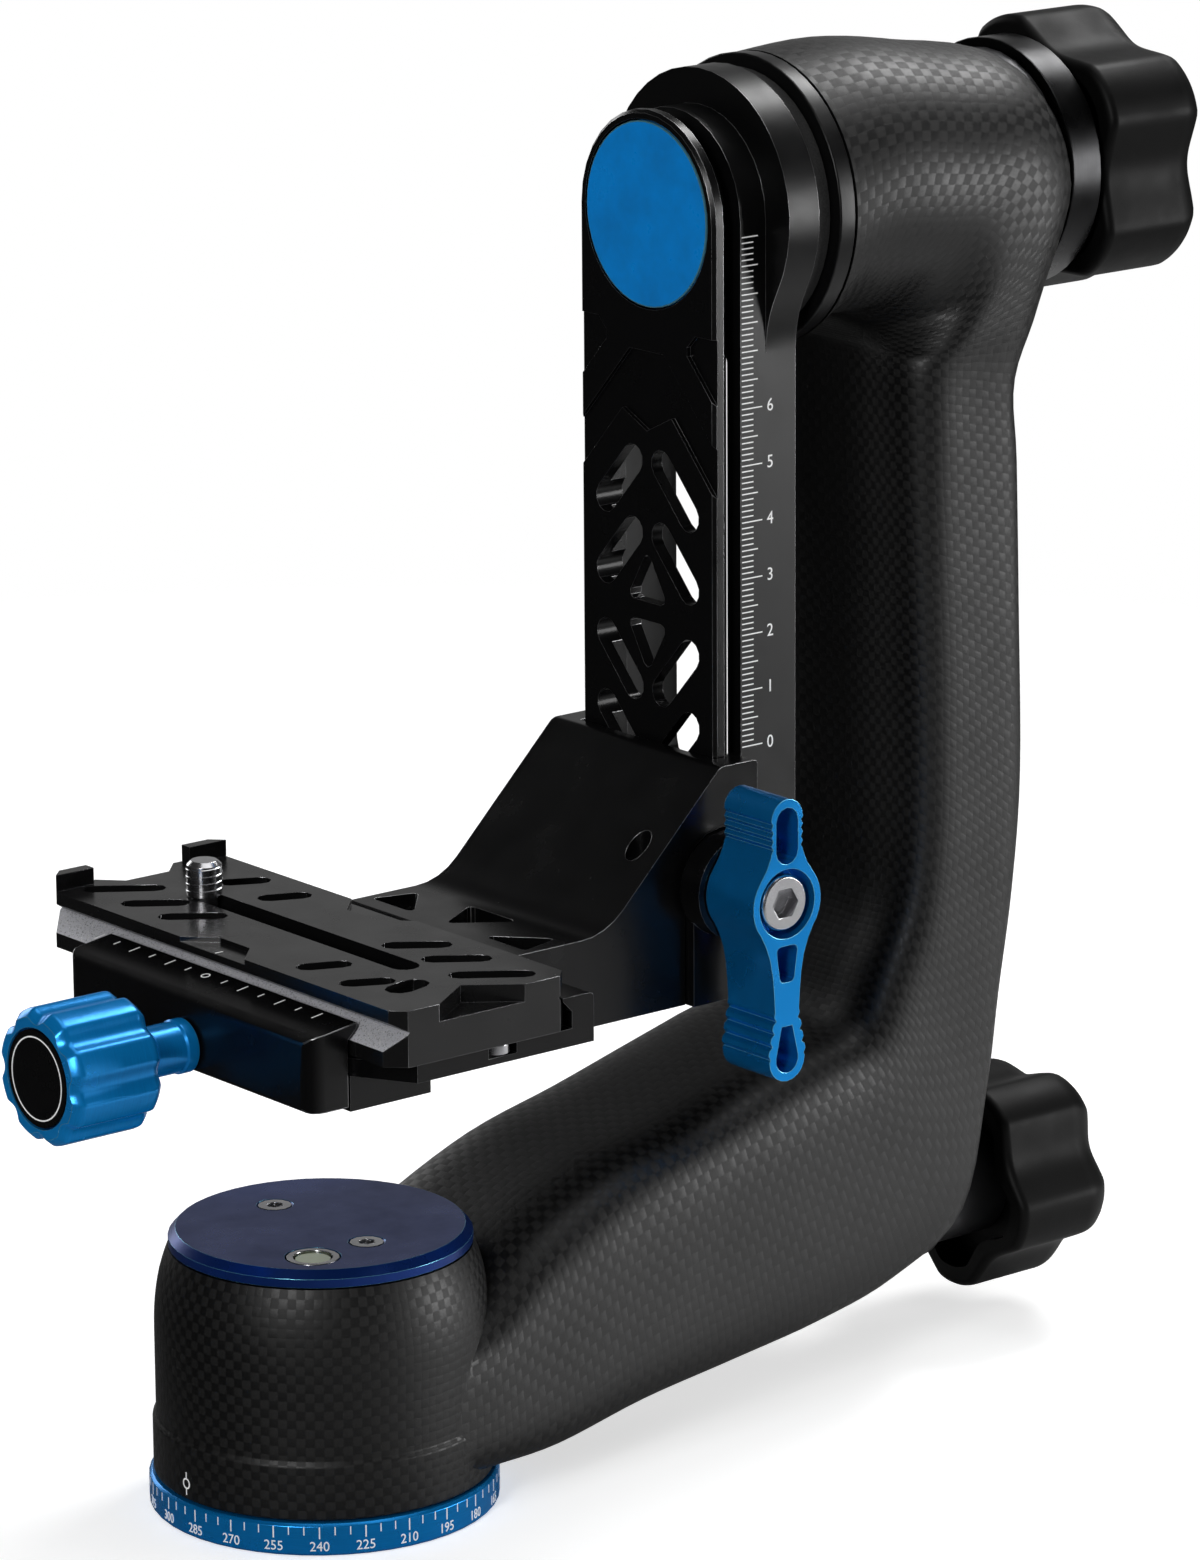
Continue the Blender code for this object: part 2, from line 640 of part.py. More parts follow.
BLACK_METAL = ((0.02, 0.02, 0.022), 0.38, 0.8)
BLUE_METAL = ((0.01, 0.16, 0.5), 0.3, 0.9)
NAVY_METAL = ((0.01, 0.03, 0.12), 0.35, 0.9)
STEEL = ((0.6, 0.6, 0.62), 0.3, 1.0)
BRIGHT_ALLOY = ((0.7, 0.7, 0.72), 0.35, 1.0)
CARBON = ((0.025, 0.025, 0.027), 0.5, 0.1)
GRIP_PLASTIC = ((0.015, 0.015, 0.016), 0.55, 0.0)
FRICTION_PAD = ((0.12, 0.1, 0.08), 0.8, 0.0)
GLASS = ((0.75, 0.85, 0.6), 0.05, 0.0)


def finished(obj, finish, pivot):
    """Gives the piece its material, shading and a parent on its joint's axis."""
    obj.data.transform(Matrix.Translation(-Vector(pivot.matrix_world.translation)))
    obj.data.materials.clear()
    obj.data.materials.append(material(obj.name, *finish))
    obj.data.shade_smooth()
    obj.data.set_sharp_from_angle(angle=SHARP_ANGLE)
    obj.parent = pivot
    return obj


def pivot_at(name, place, parent=None):
    empty = bpy.data.objects.new(name, None)
    bpy.context.scene.collection.objects.link(empty)
    empty.parent = parent
    start = parent.matrix_world.translation if parent else Vector((0, 0, 0))
    empty.location = Vector(place) - start
    bpy.context.view_layer.update()
    return empty


# Pan base and everything that stays with the tripod
def base_screw_places():
    for i in range(BASE_SCREW_COUNT):
        turn = math.pi / 4 + 2 * math.pi * i / BASE_SCREW_COUNT
        yield (BASE_SCREW_RING * math.cos(turn), BASE_SCREW_RING * math.sin(turn), 0)


def base_screw_holes():
    return grouped([
        countersink(M3_RADIUS, BASE_HEAD, BASE_CONE, BASE_SCREW_LENGTH, SPINDLE_RECESS, 1, "Z", place)
        for place in base_screw_places()
    ])


def pan_base():
    flange_top = SPINDLE_RECESS + SPINDLE_FLANGE_DEPTH + GAP
    counterbore = SPINDLE_FLANGE_RADIUS + GAP
    profile = [
        (counterbore, 0), (BASE_RADIUS - BASE_EDGE, 0), (BASE_RADIUS, BASE_EDGE),
        (BASE_RADIUS, BASE_HEIGHT - BASE_EDGE), (BASE_RADIUS - BASE_EDGE, BASE_HEIGHT),
        (BASE_HUB_RADIUS, BASE_HEIGHT), (BASE_HUB_RADIUS, BASE_HEIGHT + BASE_HUB_RISE),
        (BORE_RADIUS, BASE_HEIGHT + BASE_HUB_RISE), (BORE_RADIUS, flange_top), (counterbore, flange_top),
    ]
    return cut(turned("pan_base", profile, steps=FINE_STEPS), base_screw_holes())


def pan_spindle():
    flange_top = SPINDLE_RECESS + SPINDLE_FLANGE_DEPTH
    profile = [
        (0, STUD_DEPTH), (STUD_RADIUS, STUD_DEPTH), (STUD_RADIUS, SPINDLE_RECESS + STUD_CHAMFER),
        (STUD_RADIUS + STUD_CHAMFER, SPINDLE_RECESS), (SPINDLE_FLANGE_RADIUS, SPINDLE_RECESS),
        (SPINDLE_FLANGE_RADIUS, flange_top), (SPINDLE_RADIUS, flange_top),
        (SPINDLE_RADIUS, SPINDLE_TOP - STUD_CHAMFER), (SPINDLE_RADIUS - STUD_CHAMFER, SPINDLE_TOP),
        (0, SPINDLE_TOP),
    ]
    return cut(turned("pan_spindle", profile), base_screw_holes())


def ball_bearing(name, low, axis="Z", centre=(0, 0, 0)):
    """Two races with the shields between them set in a little."""
    high = low + BEARING_WIDTH
    inner = BORE_RADIUS + BEARING_RACE
    outer = BEARING_OUTER - BEARING_RACE
    profile = [
        (BORE_RADIUS, low), (inner, low), (inner, low + BEARING_SHIELD), (outer, low + BEARING_SHIELD),
        (outer, low), (BEARING_OUTER, low), (BEARING_OUTER, high), (outer, high),
        (outer, high - BEARING_SHIELD), (inner, high - BEARING_SHIELD), (inner, high), (BORE_RADIUS, high),
    ]
    return turned(name, profile, axis, centre, BEARING_STEPS)


def spindle_nut():
    nut = ring("spindle_nut", BORE_RADIUS, NUT_RADIUS, NUT_Z, NUT_Z + NUT_WIDTH)
    half = 0.5 * NUT_SLOT
    reach = NUT_RADIUS + OVERRUN
    middle = NUT_Z + 0.5 * NUT_WIDTH
    top = NUT_Z + NUT_WIDTH + OVERRUN
    slots = [
        box("slot", (-reach, -half, middle), (reach, half, top)),
        box("slot", (-half, -reach, middle), (half, reach, top)),
    ]
    return cut(nut, *slots)


def base_pieces():
    yield pan_base(), BLUE_METAL
    yield pan_spindle(), STEEL
    yield ball_bearing("lower_pan_bearing", LOWER_BEARING_Z), STEEL
    yield ball_bearing("upper_pan_bearing", UPPER_BEARING_Z), STEEL
    yield ring("pan_brake_drum", BORE_RADIUS, DRUM_RADIUS, DRUM_Z, DRUM_Z + DRUM_WIDTH), STEEL
    yield spindle_nut(), STEEL
    for i, place in enumerate(base_screw_places()):
        screw = countersunk(
            f"base_screw_{i + 1}", M3_RADIUS, BASE_HEAD, BASE_CONE, BASE_SCREW_LENGTH, SPINDLE_RECESS,
            1, "Z", place,
        )
        yield screw, STEEL


# The carbon arm: stations along it, each from its inner to its outer side. Columns: inner X,
# inner Z, outer X, outer Z, half width inside, half width outside, squareness inside, squareness
# outside, dish. X is a share of the arm's reach, Z of the tilt axis's height, widths of half the
# arm's width.
ARM_SHARES = (
    (0.0304, 0.1503, 0.0304, 0.0300, 1.200, 1.280, 4.00, 5.60, 0.00),
    (0.1369, 0.1705, 0.1369, 0.0300, 1.150, 1.271, 4.00, 5.88, 0.00),
    (0.2217, 0.2104, 0.2513, 0.0303, 1.090, 1.244, 4.20, 5.88, 0.00),
    (0.3599, 0.2473, 0.4083, 0.0436, 1.070, 1.164, 4.60, 5.88, 0.00),
    (0.5047, 0.2687, 0.5745, 0.0526, 1.050, 1.093, 5.00, 5.88, 0.00),
    (0.6279, 0.2895, 0.7348, 0.0637, 1.030, 1.058, 5.20, 5.88, 0.00),
    (0.7204, 0.3054, 0.8755, 0.0826, 1.020, 1.031, 5.20, 5.88, 0.17),
    (0.8040, 0.3201, 1.0011, 0.1252, 1.010, 1.013, 5.20, 6.02, 0.50),
    (0.8487, 0.3664, 1.0446, 0.2270, 0.987, 1.000, 5.20, 6.30, 0.83),
    (0.8861, 0.4194, 1.0634, 0.3129, 0.987, 1.000, 5.20, 6.40, 1.00),
    (0.9002, 0.4912, 1.0873, 0.4017, 0.987, 1.000, 5.20, 6.40, 1.00),
    (0.8992, 0.5835, 1.1016, 0.5011, 0.987, 1.000, 5.20, 6.40, 1.00),
    (0.8932, 0.6986, 1.0962, 0.6498, 0.987, 1.000, 5.13, 6.40, 1.00),
    (0.8874, 0.7986, 1.0921, 0.7687, 0.987, 1.004, 4.73, 5.88, 1.00),
    (0.8842, 0.8619, 1.0847, 0.8394, 1.004, 1.031, 4.19, 5.60, 0.83),
    (0.8943, 0.8749, 1.1389, 0.9051, 1.058, 1.093, 3.20, 3.60, 0.50),
    (0.9071, 0.8888, 1.2128, 1.0179, 1.120, 1.138, 2.70, 2.80, 0.17),
    (0.8810, 0.8990, 1.1552, 1.0909, 1.156, 1.156, 2.20, 2.20, 0.00),
    (0.8307, 0.8999, 1.0031, 1.1122, 1.164, 1.164, 2.06, 2.06, 0.00),
    (0.7901, 0.8979, 0.8747, 1.1223, 1.160, 1.160, 2.00, 2.00, 0.00),
)
ARM_RING_STEPS = 32
ARM_FILL_STEPS = 2


def arm_stations():
    """Inner point, outer point, half widths, squarenesses and dish for each station."""
    half = 0.5 * ARM_WIDTH
    for ix, iz, ox, oz, inside, outside, square_in, square_out, dish in ARM_SHARES:
        inner = Vector((ix * ARM_REACH, iz * TILT_HEIGHT))
        outer = Vector((ox * ARM_REACH, oz * TILT_HEIGHT))
        yield inner, outer, inside * half, outside * half, square_in, square_out, dish * COLUMN_DISH
    yield (
        Vector((HOUSING_FACE_X, TILT_HEIGHT - HOUSING_FACE_RADIUS)),
        Vector((HOUSING_FACE_X, TILT_HEIGHT + HOUSING_FACE_RADIUS)),
        HOUSING_FACE_RADIUS, HOUSING_FACE_RADIUS, 2.0, 2.0, 0,
    )


def blend(weights, values):
    return sum((w * v for w, v in zip(weights[1:], values[1:])), weights[0] * values[0])


def smoothed(stations):
    """More stations between the given ones, on a smooth curve through them."""
    filled = []
    count = len(stations)
    for i in range(count - 1):
        before, here = stations[max(i - 1, 0)], stations[i]
        after, beyond = stations[i + 1], stations[min(i + 2, count - 1)]
        for step in range(ARM_FILL_STEPS):
            t = step / ARM_FILL_STEPS
            weights = (
                0.5 * (-t + 2 * t**2 - t**3), 0.5 * (2 - 5 * t**2 + 3 * t**3),
                0.5 * (t + 4 * t**2 - 3 * t**3), 0.5 * (t**3 - t**2),
            )
            parts = zip(before, here, after, beyond)
            filled.append([blend(weights, values) for values in parts])
    filled.append(list(stations[-1]))
    return filled


def arm_ring(inner, outer, inside, outside, square_in, square_out, dish):
    """A rounded oblong across the arm, hollowed a little on its inner side."""
    centre = 0.5 * (inner + outer)
    reach = 0.5 * (outer - inner)
    toward = reach.normalized()
    points = []
    for i in range(ARM_RING_STEPS):
        turn = 2 * math.pi * (i + 0.5) / ARM_RING_STEPS
        c, s = math.cos(turn), math.sin(turn)
        square = square_out if c > 0 else square_in
        u = math.copysign(abs(c) ** (2 / square), c)
        v = math.copysign(abs(s) ** (2 / square), s)
        width = 0.5 * (inside + outside) + 0.5 * (outside - inside) * u
        sunk = dish * (1 - v * v) ** 2 * max(0, -u)
        place = centre + u * reach + sunk * toward
        points.append((place.x, v * width, place.y))
    return points


def boss():
    shoulder = BOSS_TOP - BOSS_SHOULDER
    collar_top = BOSS_BOTTOM + COLLAR_HEIGHT
    profile = [(0, BOSS_BOTTOM), (BOSS_RADIUS + COLLAR_PROUD - BASE_EDGE, BOSS_BOTTOM)]
    profile += [(BOSS_RADIUS + COLLAR_PROUD, BOSS_BOTTOM + BASE_EDGE)]
    profile += [(BOSS_RADIUS + COLLAR_PROUD, collar_top - COLLAR_PROUD), (BOSS_RADIUS, collar_top)]
    steps = 8
    for i in range(steps + 1):
        t = i / steps
        radius = BOSS_RADIUS - (BOSS_RADIUS - BOSS_TOP_RADIUS) * t**2.6
        profile.append((radius, shoulder + t * BOSS_SHOULDER))
    profile += [(BOSS_TOP_RADIUS, BOSS_TOP + OVERRUN), (0, BOSS_TOP + OVERRUN)]
    return turned("boss", profile, steps=FINE_STEPS)


def carbon_arm():
    arm = lofted("carbon_arm", [arm_ring(*station) for station in smoothed(list(arm_stations()))])
    tilt = (0, 0, TILT_HEIGHT)
    lock = (0, 0, LOCK_Z)
    pan_pad = rod("pad", PAN_PAD_RADIUS, PAN_PAD_X - PAN_PAD_ROOT, PAN_PAD_X, "X", lock, ROUND_STEPS)
    fused(arm, boss(), pan_pad)
    cap_seat = rod("seat", CAP_RADIUS + GAP, BOSS_TOP, BOSS_TOP + BOSS_RADIUS, steps=FINE_STEPS)
    pan_bore = rod("bore", ARM_BORE, BOSS_BOTTOM - OVERRUN, BOSS_TOP + OVERRUN, steps=ROUND_STEPS)
    ends = (HOUSING_FACE_X - OVERRUN, HOUSING_BACK_X + OVERRUN)
    tilt_bore = rod("bore", ARM_BORE, *ends, "X", tilt, ROUND_STEPS)
    collar_ends = (HOUSING_BACK_X, HOUSING_BACK_X + TILT_COLLAR_RADIUS)
    collar_seat = rod("seat", TILT_COLLAR_RADIUS + GAP, *collar_ends, "X", tilt, FINE_STEPS)
    pan_ends = (PAN_PAD_X, PAN_PAD_X + PAN_COLLAR_LENGTH)
    pan_seat = rod("seat", PAN_COLLAR_RADIUS + GAP, *pan_ends, "X", lock, ROUND_STEPS)
    shoe_end = DRUM_RADIUS + GAP + SHOE_LENGTH + 2 * SHOE_TRAVEL
    shoe_bore = rod("bore", SHOE_RADIUS + GAP, 0, shoe_end, "X", lock)
    rod_bore = rod("bore", ROD_RADIUS + GAP, shoe_end - OVERRUN, PAN_PAD_X + OVERRUN, "X", lock)
    return cut(arm, cap_seat, pan_bore, tilt_bore, collar_seat, pan_seat, shoe_bore, rod_bore)


def pan_sleeve():
    sleeve = ring("pan_sleeve", SLEEVE_INNER, SLEEVE_OUTER, SLEEVE_BOTTOM, SLEEVE_TOP)
    reach = SLEEVE_OUTER + OVERRUN
    return cut(sleeve, rod("bore", SHOE_RADIUS + GAP, 0, reach, "X", (0, 0, LOCK_Z)))


def cap_screw_places():
    return [(0, CAP_SCREW_PLACE, 0), (0, -CAP_SCREW_PLACE, 0)]


def cap_screw_holes():
    return grouped([
        countersink(M3_RADIUS, M3_HEAD, M3_CONE, CAP_SCREW_LENGTH, CAP_TOP, -1, "Z", place)
        for place in cap_screw_places()
    ])


def level_place():
    return (LEVEL_PLACE * math.cos(LEVEL_TURN), LEVEL_PLACE * math.sin(LEVEL_TURN), 0)


def top_cap():
    profile = [
        (0, CAP_Z), (CAP_RADIUS, CAP_Z), (CAP_RADIUS, CAP_Z + CAP_RIM), (CAP_FACE_RADIUS, CAP_TOP),
        (0, CAP_TOP),
    ]
    cap = turned("top_cap", profile, steps=FINE_STEPS)
    pocket_floor = CAP_TOP - LEVEL_DEPTH - GAP
    pocket = rod("pocket", LEVEL_RADIUS + GAP, pocket_floor, CAP_TOP + OVERRUN, "Z", level_place())
    return cut(cap, cap_screw_holes(), pocket)


def level_cup():
    floor = CAP_TOP - LEVEL_DEPTH
    bore = LEVEL_RADIUS - LEVEL_WALL
    profile = [
        (0, floor), (LEVEL_RADIUS, floor), (LEVEL_RADIUS, CAP_TOP), (bore, CAP_TOP),
        (bore, floor + LEVEL_FLOOR), (0, floor + LEVEL_FLOOR),
    ]
    return turned("level_cup", profile, "Z", level_place(), SMALL_STEPS)


def level_vial():
    low = CAP_TOP - LEVEL_DEPTH + LEVEL_FLOOR + GAP
    return rod("level_vial", LEVEL_RADIUS - LEVEL_WALL - GAP, low, CAP_TOP - GAP, "Z", level_place())


def arm_pieces():
    tilt = (0, 0, TILT_HEIGHT)
    yield carbon_arm(), CARBON
    yield pan_sleeve(), BRIGHT_ALLOY
    cap_ring = ring("cap_ring", NUT_RADIUS - M3_HEAD, SLEEVE_OUTER, RING_Z, BOSS_TOP)
    yield cut(cap_ring, cap_screw_holes()), BRIGHT_ALLOY
    yield top_cap(), NAVY_METAL
    for i, place in enumerate(cap_screw_places()):
        screw = countersunk(
            f"cap_screw_{i + 1}", M3_RADIUS, M3_HEAD, M3_CONE, CAP_SCREW_LENGTH, CAP_TOP, -1, "Z", place,
        )
        yield screw, STEEL
    yield level_cup(), BRIGHT_ALLOY
    yield level_vial(), GLASS
    sleeve = ring("tilt_sleeve", SLEEVE_INNER, SLEEVE_OUTER, SLEEVE_IN_X, SLEEVE_OUT_X, "X", tilt)
    yield sleeve, BRIGHT_ALLOY
    face_low = HOUSING_FACE_X - GAP - FACE_RING_WIDTH
    face = (face_low, face_low + FACE_RING_WIDTH)
    yield ring("tilt_face_ring", BORE_RADIUS, FACE_RING_RADIUS, *face, "X", tilt, FINE_STEPS), BLACK_METAL
    brake = (BRAKE_X, BRAKE_X + BRAKE_WIDTH)
    yield ring("tilt_brake_disc", BORE_RADIUS, BRAKE_RADIUS, *brake, "X", tilt, FINE_STEPS), FRICTION_PAD
    yield ball_bearing("inner_tilt_bearing", INNER_BEARING_X, "X", tilt), STEEL
    yield ball_bearing("outer_tilt_bearing", OUTER_BEARING_X, "X", tilt), STEEL
    washer = (THRUST_WASHER_X, THRUST_WASHER_X + THRUST_WASHER_WIDTH)
    bore = TILT_SCREW_RADIUS + GAP
    yield ring("thrust_washer", bore, BEARING_OUTER, *washer, "X", tilt), STEEL


# Lock knobs on the arm
def lobed_ring(radius, valley, turn, shrink, along, centre_z):
    points = []
    count = KNOB_LOBES * KNOB_LOBE_STEPS
    for i in range(count):
        angle = 2 * math.pi * i / count
        hollow = (0.5 - 0.5 * math.cos(KNOB_LOBES * angle)) ** KNOB_LOBE_POWER
        reach = radius - shrink - valley * hollow
        points.append((along, -reach * math.sin(angle + turn), centre_z + reach * math.cos(angle + turn)))
    return points


def lobed_knob(name, radius, valley, turn, low, length, round_edge, centre_z, bore, hollow):
    """A moulded knob with rounded lobes and a rounded face, hollow behind and drilled for its screw."""
    high = low + length
    sections = []
    for edge, sign, start in ((KNOB_RIM_EDGE, 1, low), (round_edge, -1, high)):
        edge_steps = 2 if sign > 0 else 4
        part = []
        for i in range(edge_steps + 1):
            lean = 0.5 * math.pi * i / edge_steps
            shrink = edge * (1 - math.sin(lean))
            inset = edge * (1 - math.cos(lean))
            part.append(lobed_ring(radius, valley, turn, shrink, start + sign * inset, centre_z))
        sections += part if sign > 0 else part[::-1]
    knob = lofted(name, sections)
    floor = low + hollow
    inside = [
        lobed_ring(radius, valley, turn, KNOB_WALL, along, centre_z) for along in (low - OVERRUN, floor)
    ]
    bore_end = floor + KNOB_GRIP + GAP
    bore = rod("bore", bore + GAP, floor - OVERRUN, bore_end, "X", (0, 0, centre_z))
    return cut(knob, lofted("hollow", inside), bore)


def tilt_knob_pieces():
    tilt = (0, 0, TILT_HEIGHT)
    hollow = TILT_COLLAR_X + TILT_COLLAR_LENGTH + GAP - TILT_KNOB_X
    knob = lobed_knob(
        "tilt_lock_knob", TILT_KNOB_RADIUS, TILT_KNOB_VALLEY, TILT_KNOB_TURN, TILT_KNOB_X,
        TILT_KNOB_LENGTH, TILT_KNOB_EDGE, TILT_HEIGHT, TILT_SCREW_RADIUS, hollow,
    )
    yield knob, GRIP_PLASTIC
    bore = TILT_SCREW_RADIUS + GAP
    step_x = TILT_COLLAR_X + TILT_COLLAR_WIDTH
    end_x = TILT_COLLAR_X + TILT_COLLAR_LENGTH
    profile = [
        (bore, TILT_COLLAR_X), (TILT_COLLAR_RADIUS, TILT_COLLAR_X), (TILT_COLLAR_RADIUS, step_x),
        (TILT_COLLAR_NECK, step_x), (TILT_COLLAR_NECK, end_x), (bore, end_x),
    ]
    yield turned("tilt_knob_collar", profile, "X", tilt, FINE_STEPS), BRIGHT_ALLOY
    ends = (AXLE_END_X - TILT_SCREW_GRIP, TILT_KNOB_X + hollow + KNOB_GRIP)
    yield rod("tilt_lock_screw", TILT_SCREW_RADIUS, *ends, "X", tilt), STEEL


def pan_knob_pieces():
    lock = (0, 0, LOCK_Z)
    hollow = PAN_COLLAR_X + PAN_COLLAR_LENGTH + GAP - PAN_KNOB_X
    knob = lobed_knob(
        "pan_lock_knob", PAN_KNOB_RADIUS, PAN_KNOB_VALLEY, PAN_KNOB_TURN, PAN_KNOB_X,
        PAN_KNOB_LENGTH, PAN_KNOB_EDGE, LOCK_Z, ROD_RADIUS, hollow,
    )
    yield knob, GRIP_PLASTIC
    collar = (PAN_COLLAR_X, PAN_COLLAR_X + PAN_COLLAR_LENGTH)
    yield ring("pan_knob_collar", ROD_RADIUS + GAP, PAN_COLLAR_RADIUS, *collar, "X", lock), BLACK_METAL
    tip = DRUM_RADIUS + GAP + SHOE_LENGTH - SHOE_BORE_DEPTH + SHOE_TRAVEL + GAP
    yield rod("pan_lock_rod", ROD_RADIUS, tip, PAN_KNOB_X + hollow + KNOB_GRIP, "X", lock), STEEL


def brake_shoe():
    low = DRUM_RADIUS + GAP
    high = low + SHOE_LENGTH
    lock = (0, 0, LOCK_Z)
    shoe = rod("pan_brake_shoe", SHOE_RADIUS, 0, high, "X", lock)
    drum = rod("drum", low, LOCK_Z - DRUM_WIDTH, LOCK_Z + DRUM_WIDTH, steps=ROUND_STEPS)
    bore = rod("bore", ROD_RADIUS + GAP, high - SHOE_BORE_DEPTH, high + OVERRUN, "X", lock)
    return cut(shoe, drum, bore)


# Swing plate, rail and axle
def arch(half, low, steps=16):
    """An outline in Y and Z: straight sides from low up to the tilt axis and a round top."""
    top = arc((0, TILT_HEIGHT), half, 0, math.pi, steps)
    return [(half, low)] + top + [(-half, low)]


def hub_outline():
    """The hub's disc, run into the plate's straight sides by a large fillet."""
    across = PLATE_HALF + HUB_FILLET
    apart = HUB_RADIUS + HUB_FILLET
    drop = math.sqrt(apart**2 - across**2)
    lean = math.atan2(drop, across)
    right = arc((across, TILT_HEIGHT - drop), HUB_FILLET, math.pi, math.pi - lean, 5)
    top = arc((0, TILT_HEIGHT), HUB_RADIUS, -lean, math.pi + lean, 28)[1:-1]
    left = [(-a, b) for a, b in reversed(right)]
    return [(PLATE_HALF, SWING_BOTTOM_Z)] + right + top + left + [(-PLATE_HALF, SWING_BOTTOM_Z)]


def hub_screw_places():
    for i in range(HUB_SCREW_COUNT):
        turn = math.pi / 4 + 2 * math.pi * i / HUB_SCREW_COUNT
        yield (0, HUB_SCREW_RING * math.cos(turn), TILT_HEIGHT + HUB_SCREW_RING * math.sin(turn))


HUB_SCREW_X = RAIL_X + DISC_WIDTH + GAP
HUB_SCREW_LENGTH = PLATE_BACK_X - 0.4 * AXLE_FLANGE_WIDTH - HUB_SCREW_X
RAIL_SCREW_LENGTH = PLATE_BACK_X - RAIL_X - RAIL_SCREW_SKIN


def hub_screw_holes():
    return grouped([
        countersink(M4_RADIUS, M4_HEAD, M4_CONE, HUB_SCREW_LENGTH, HUB_SCREW_X, 1, "X", place)
        for place in hub_screw_places()
    ])


def rail_screw_places():
    low = SWING_BOTTOM_Z + RAIL_SCREW_EDGE
    return [(0, 0, low), (0, 0, low + RAIL_SCREW_PITCH)]


def rail_screw_holes():
    return grouped([
        countersink(M4_RADIUS, M4_HEAD, M4_CONE, RAIL_SCREW_LENGTH, PLATE_BACK_X, -1, "X", place)
        for place in rail_screw_places()
    ])


def window_cutters():
    ends = (RAIL_X - OVERRUN, RAIL_BACK_X + OVERRUN)
    cutters = []
    for up in (1, -1):
        for row in range(2):
            low = WINDOW_FIRST + row * WINDOW_PITCH
            for side in (1, -1):
                start = (side * WINDOW_IN, WINDOW_CENTRE_Z + up * (low + WINDOW_FALL))
                end = (side * WINDOW_OUT, WINDOW_CENTRE_Z + up * low)
                cutters.append(extruded("window", capsule(start, end, WINDOW_RADIUS), "X", *ends))
        foot = WINDOW_CENTRE_Z + up * TRIANGLE_START
        peak = foot + up * TRIANGLE_HEIGHT
        corners = [
            (TRIANGLE_HALF, foot, TRIANGLE_CORNER), (0, peak, TRIANGLE_CORNER),
            (-TRIANGLE_HALF, foot, TRIANGLE_CORNER),
        ]
        cutters.append(extruded("window", rounded(corners, 2), "X", *ends))
    return cutters


def web_pocket():
    """The pocket in the rail's back that thins it behind the windows."""
    half = RAIL_HALF - RAIL_FLANK - WEB_SIDE
    reach = WINDOW_FIRST + WINDOW_PITCH + WINDOW_FALL + WINDOW_RADIUS + WEB_MARGIN
    low = (RAIL_X + WEB_DEPTH, -half, WINDOW_CENTRE_Z - reach)
    return box("pocket", low, (RAIL_BACK_X + OVERRUN, half, WINDOW_CENTRE_Z + reach))


def relief_cutters():
    """The chevron band sunk in the rail's face, and the two corners sunk above it."""
    ends = (RAIL_X - OVERRUN, RAIL_X + RELIEF_DEPTH)
    edge = RAIL_HALF + OVERRUN
    knee_z = RELIEF_TOP_Z - RELIEF_BAND
    low_z = knee_z - RELIEF_SLOPE_SHARE * (edge - RELIEF_KNEE)
    high_z = RELIEF_TOP_Z - RELIEF_SLOPE_SHARE * (edge - RELIEF_TOP_HALF)
    half = [
        (RELIEF_TOP_HALF, RELIEF_TOP_Z), (edge, high_z), (edge, low_z), (RELIEF_KNEE, knee_z),
    ]
    band = half + [(0, knee_z - RELIEF_DIP)] + [(-a, b) for a, b in reversed(half)]
    cutters = [extruded("relief", band, "X", *ends)]
    start_z = SIDE_RELIEF_TOP_Z - SIDE_RELIEF_HEIGHT
    foot_z = start_z - RELIEF_SLOPE_SHARE * (edge - SIDE_RELIEF_IN)
    corner = [
        (edge, SIDE_RELIEF_TOP_Z), (SIDE_RELIEF_IN + SIDE_RELIEF_CUT, SIDE_RELIEF_TOP_Z),
        (SIDE_RELIEF_IN, SIDE_RELIEF_TOP_Z - SIDE_RELIEF_CUT), (SIDE_RELIEF_IN, start_z), (edge, foot_z),
    ]
    cutters.append(extruded("relief", corner, "X", *ends))
    cutters.append(extruded("relief", [(-a, b) for a, b in corner], "X", *ends))
    return cutters


def rail_section():
    """The dovetail's half width at each depth, from its face to its back."""
    return [
        (RAIL_HALF - RAIL_CHAMFER, RAIL_X), (RAIL_HALF, RAIL_X + RAIL_CHAMFER),
        (RAIL_HALF, RAIL_X + RAIL_LIP), (RAIL_HALF - RAIL_FLANK, RAIL_BACK_X),
    ]


def dovetail_rail():
    rings = [
        [placed("X", a, b, along) for a, b in arch(half, SWING_BOTTOM_Z)] for half, along in rail_section()
    ]
    rail = lofted("dovetail_rail", rings)
    tilt = (0, 0, TILT_HEIGHT)
    pocket = rod("pocket", DISC_RADIUS + GAP, RAIL_X - OVERRUN, HUB_SCREW_X, "X", tilt, FINE_STEPS)
    cut(rail, pocket)
    cut(rail, web_pocket(), grouped(window_cutters()), grouped(relief_cutters()))
    return cut(rail, hub_screw_holes(), rail_screw_holes())


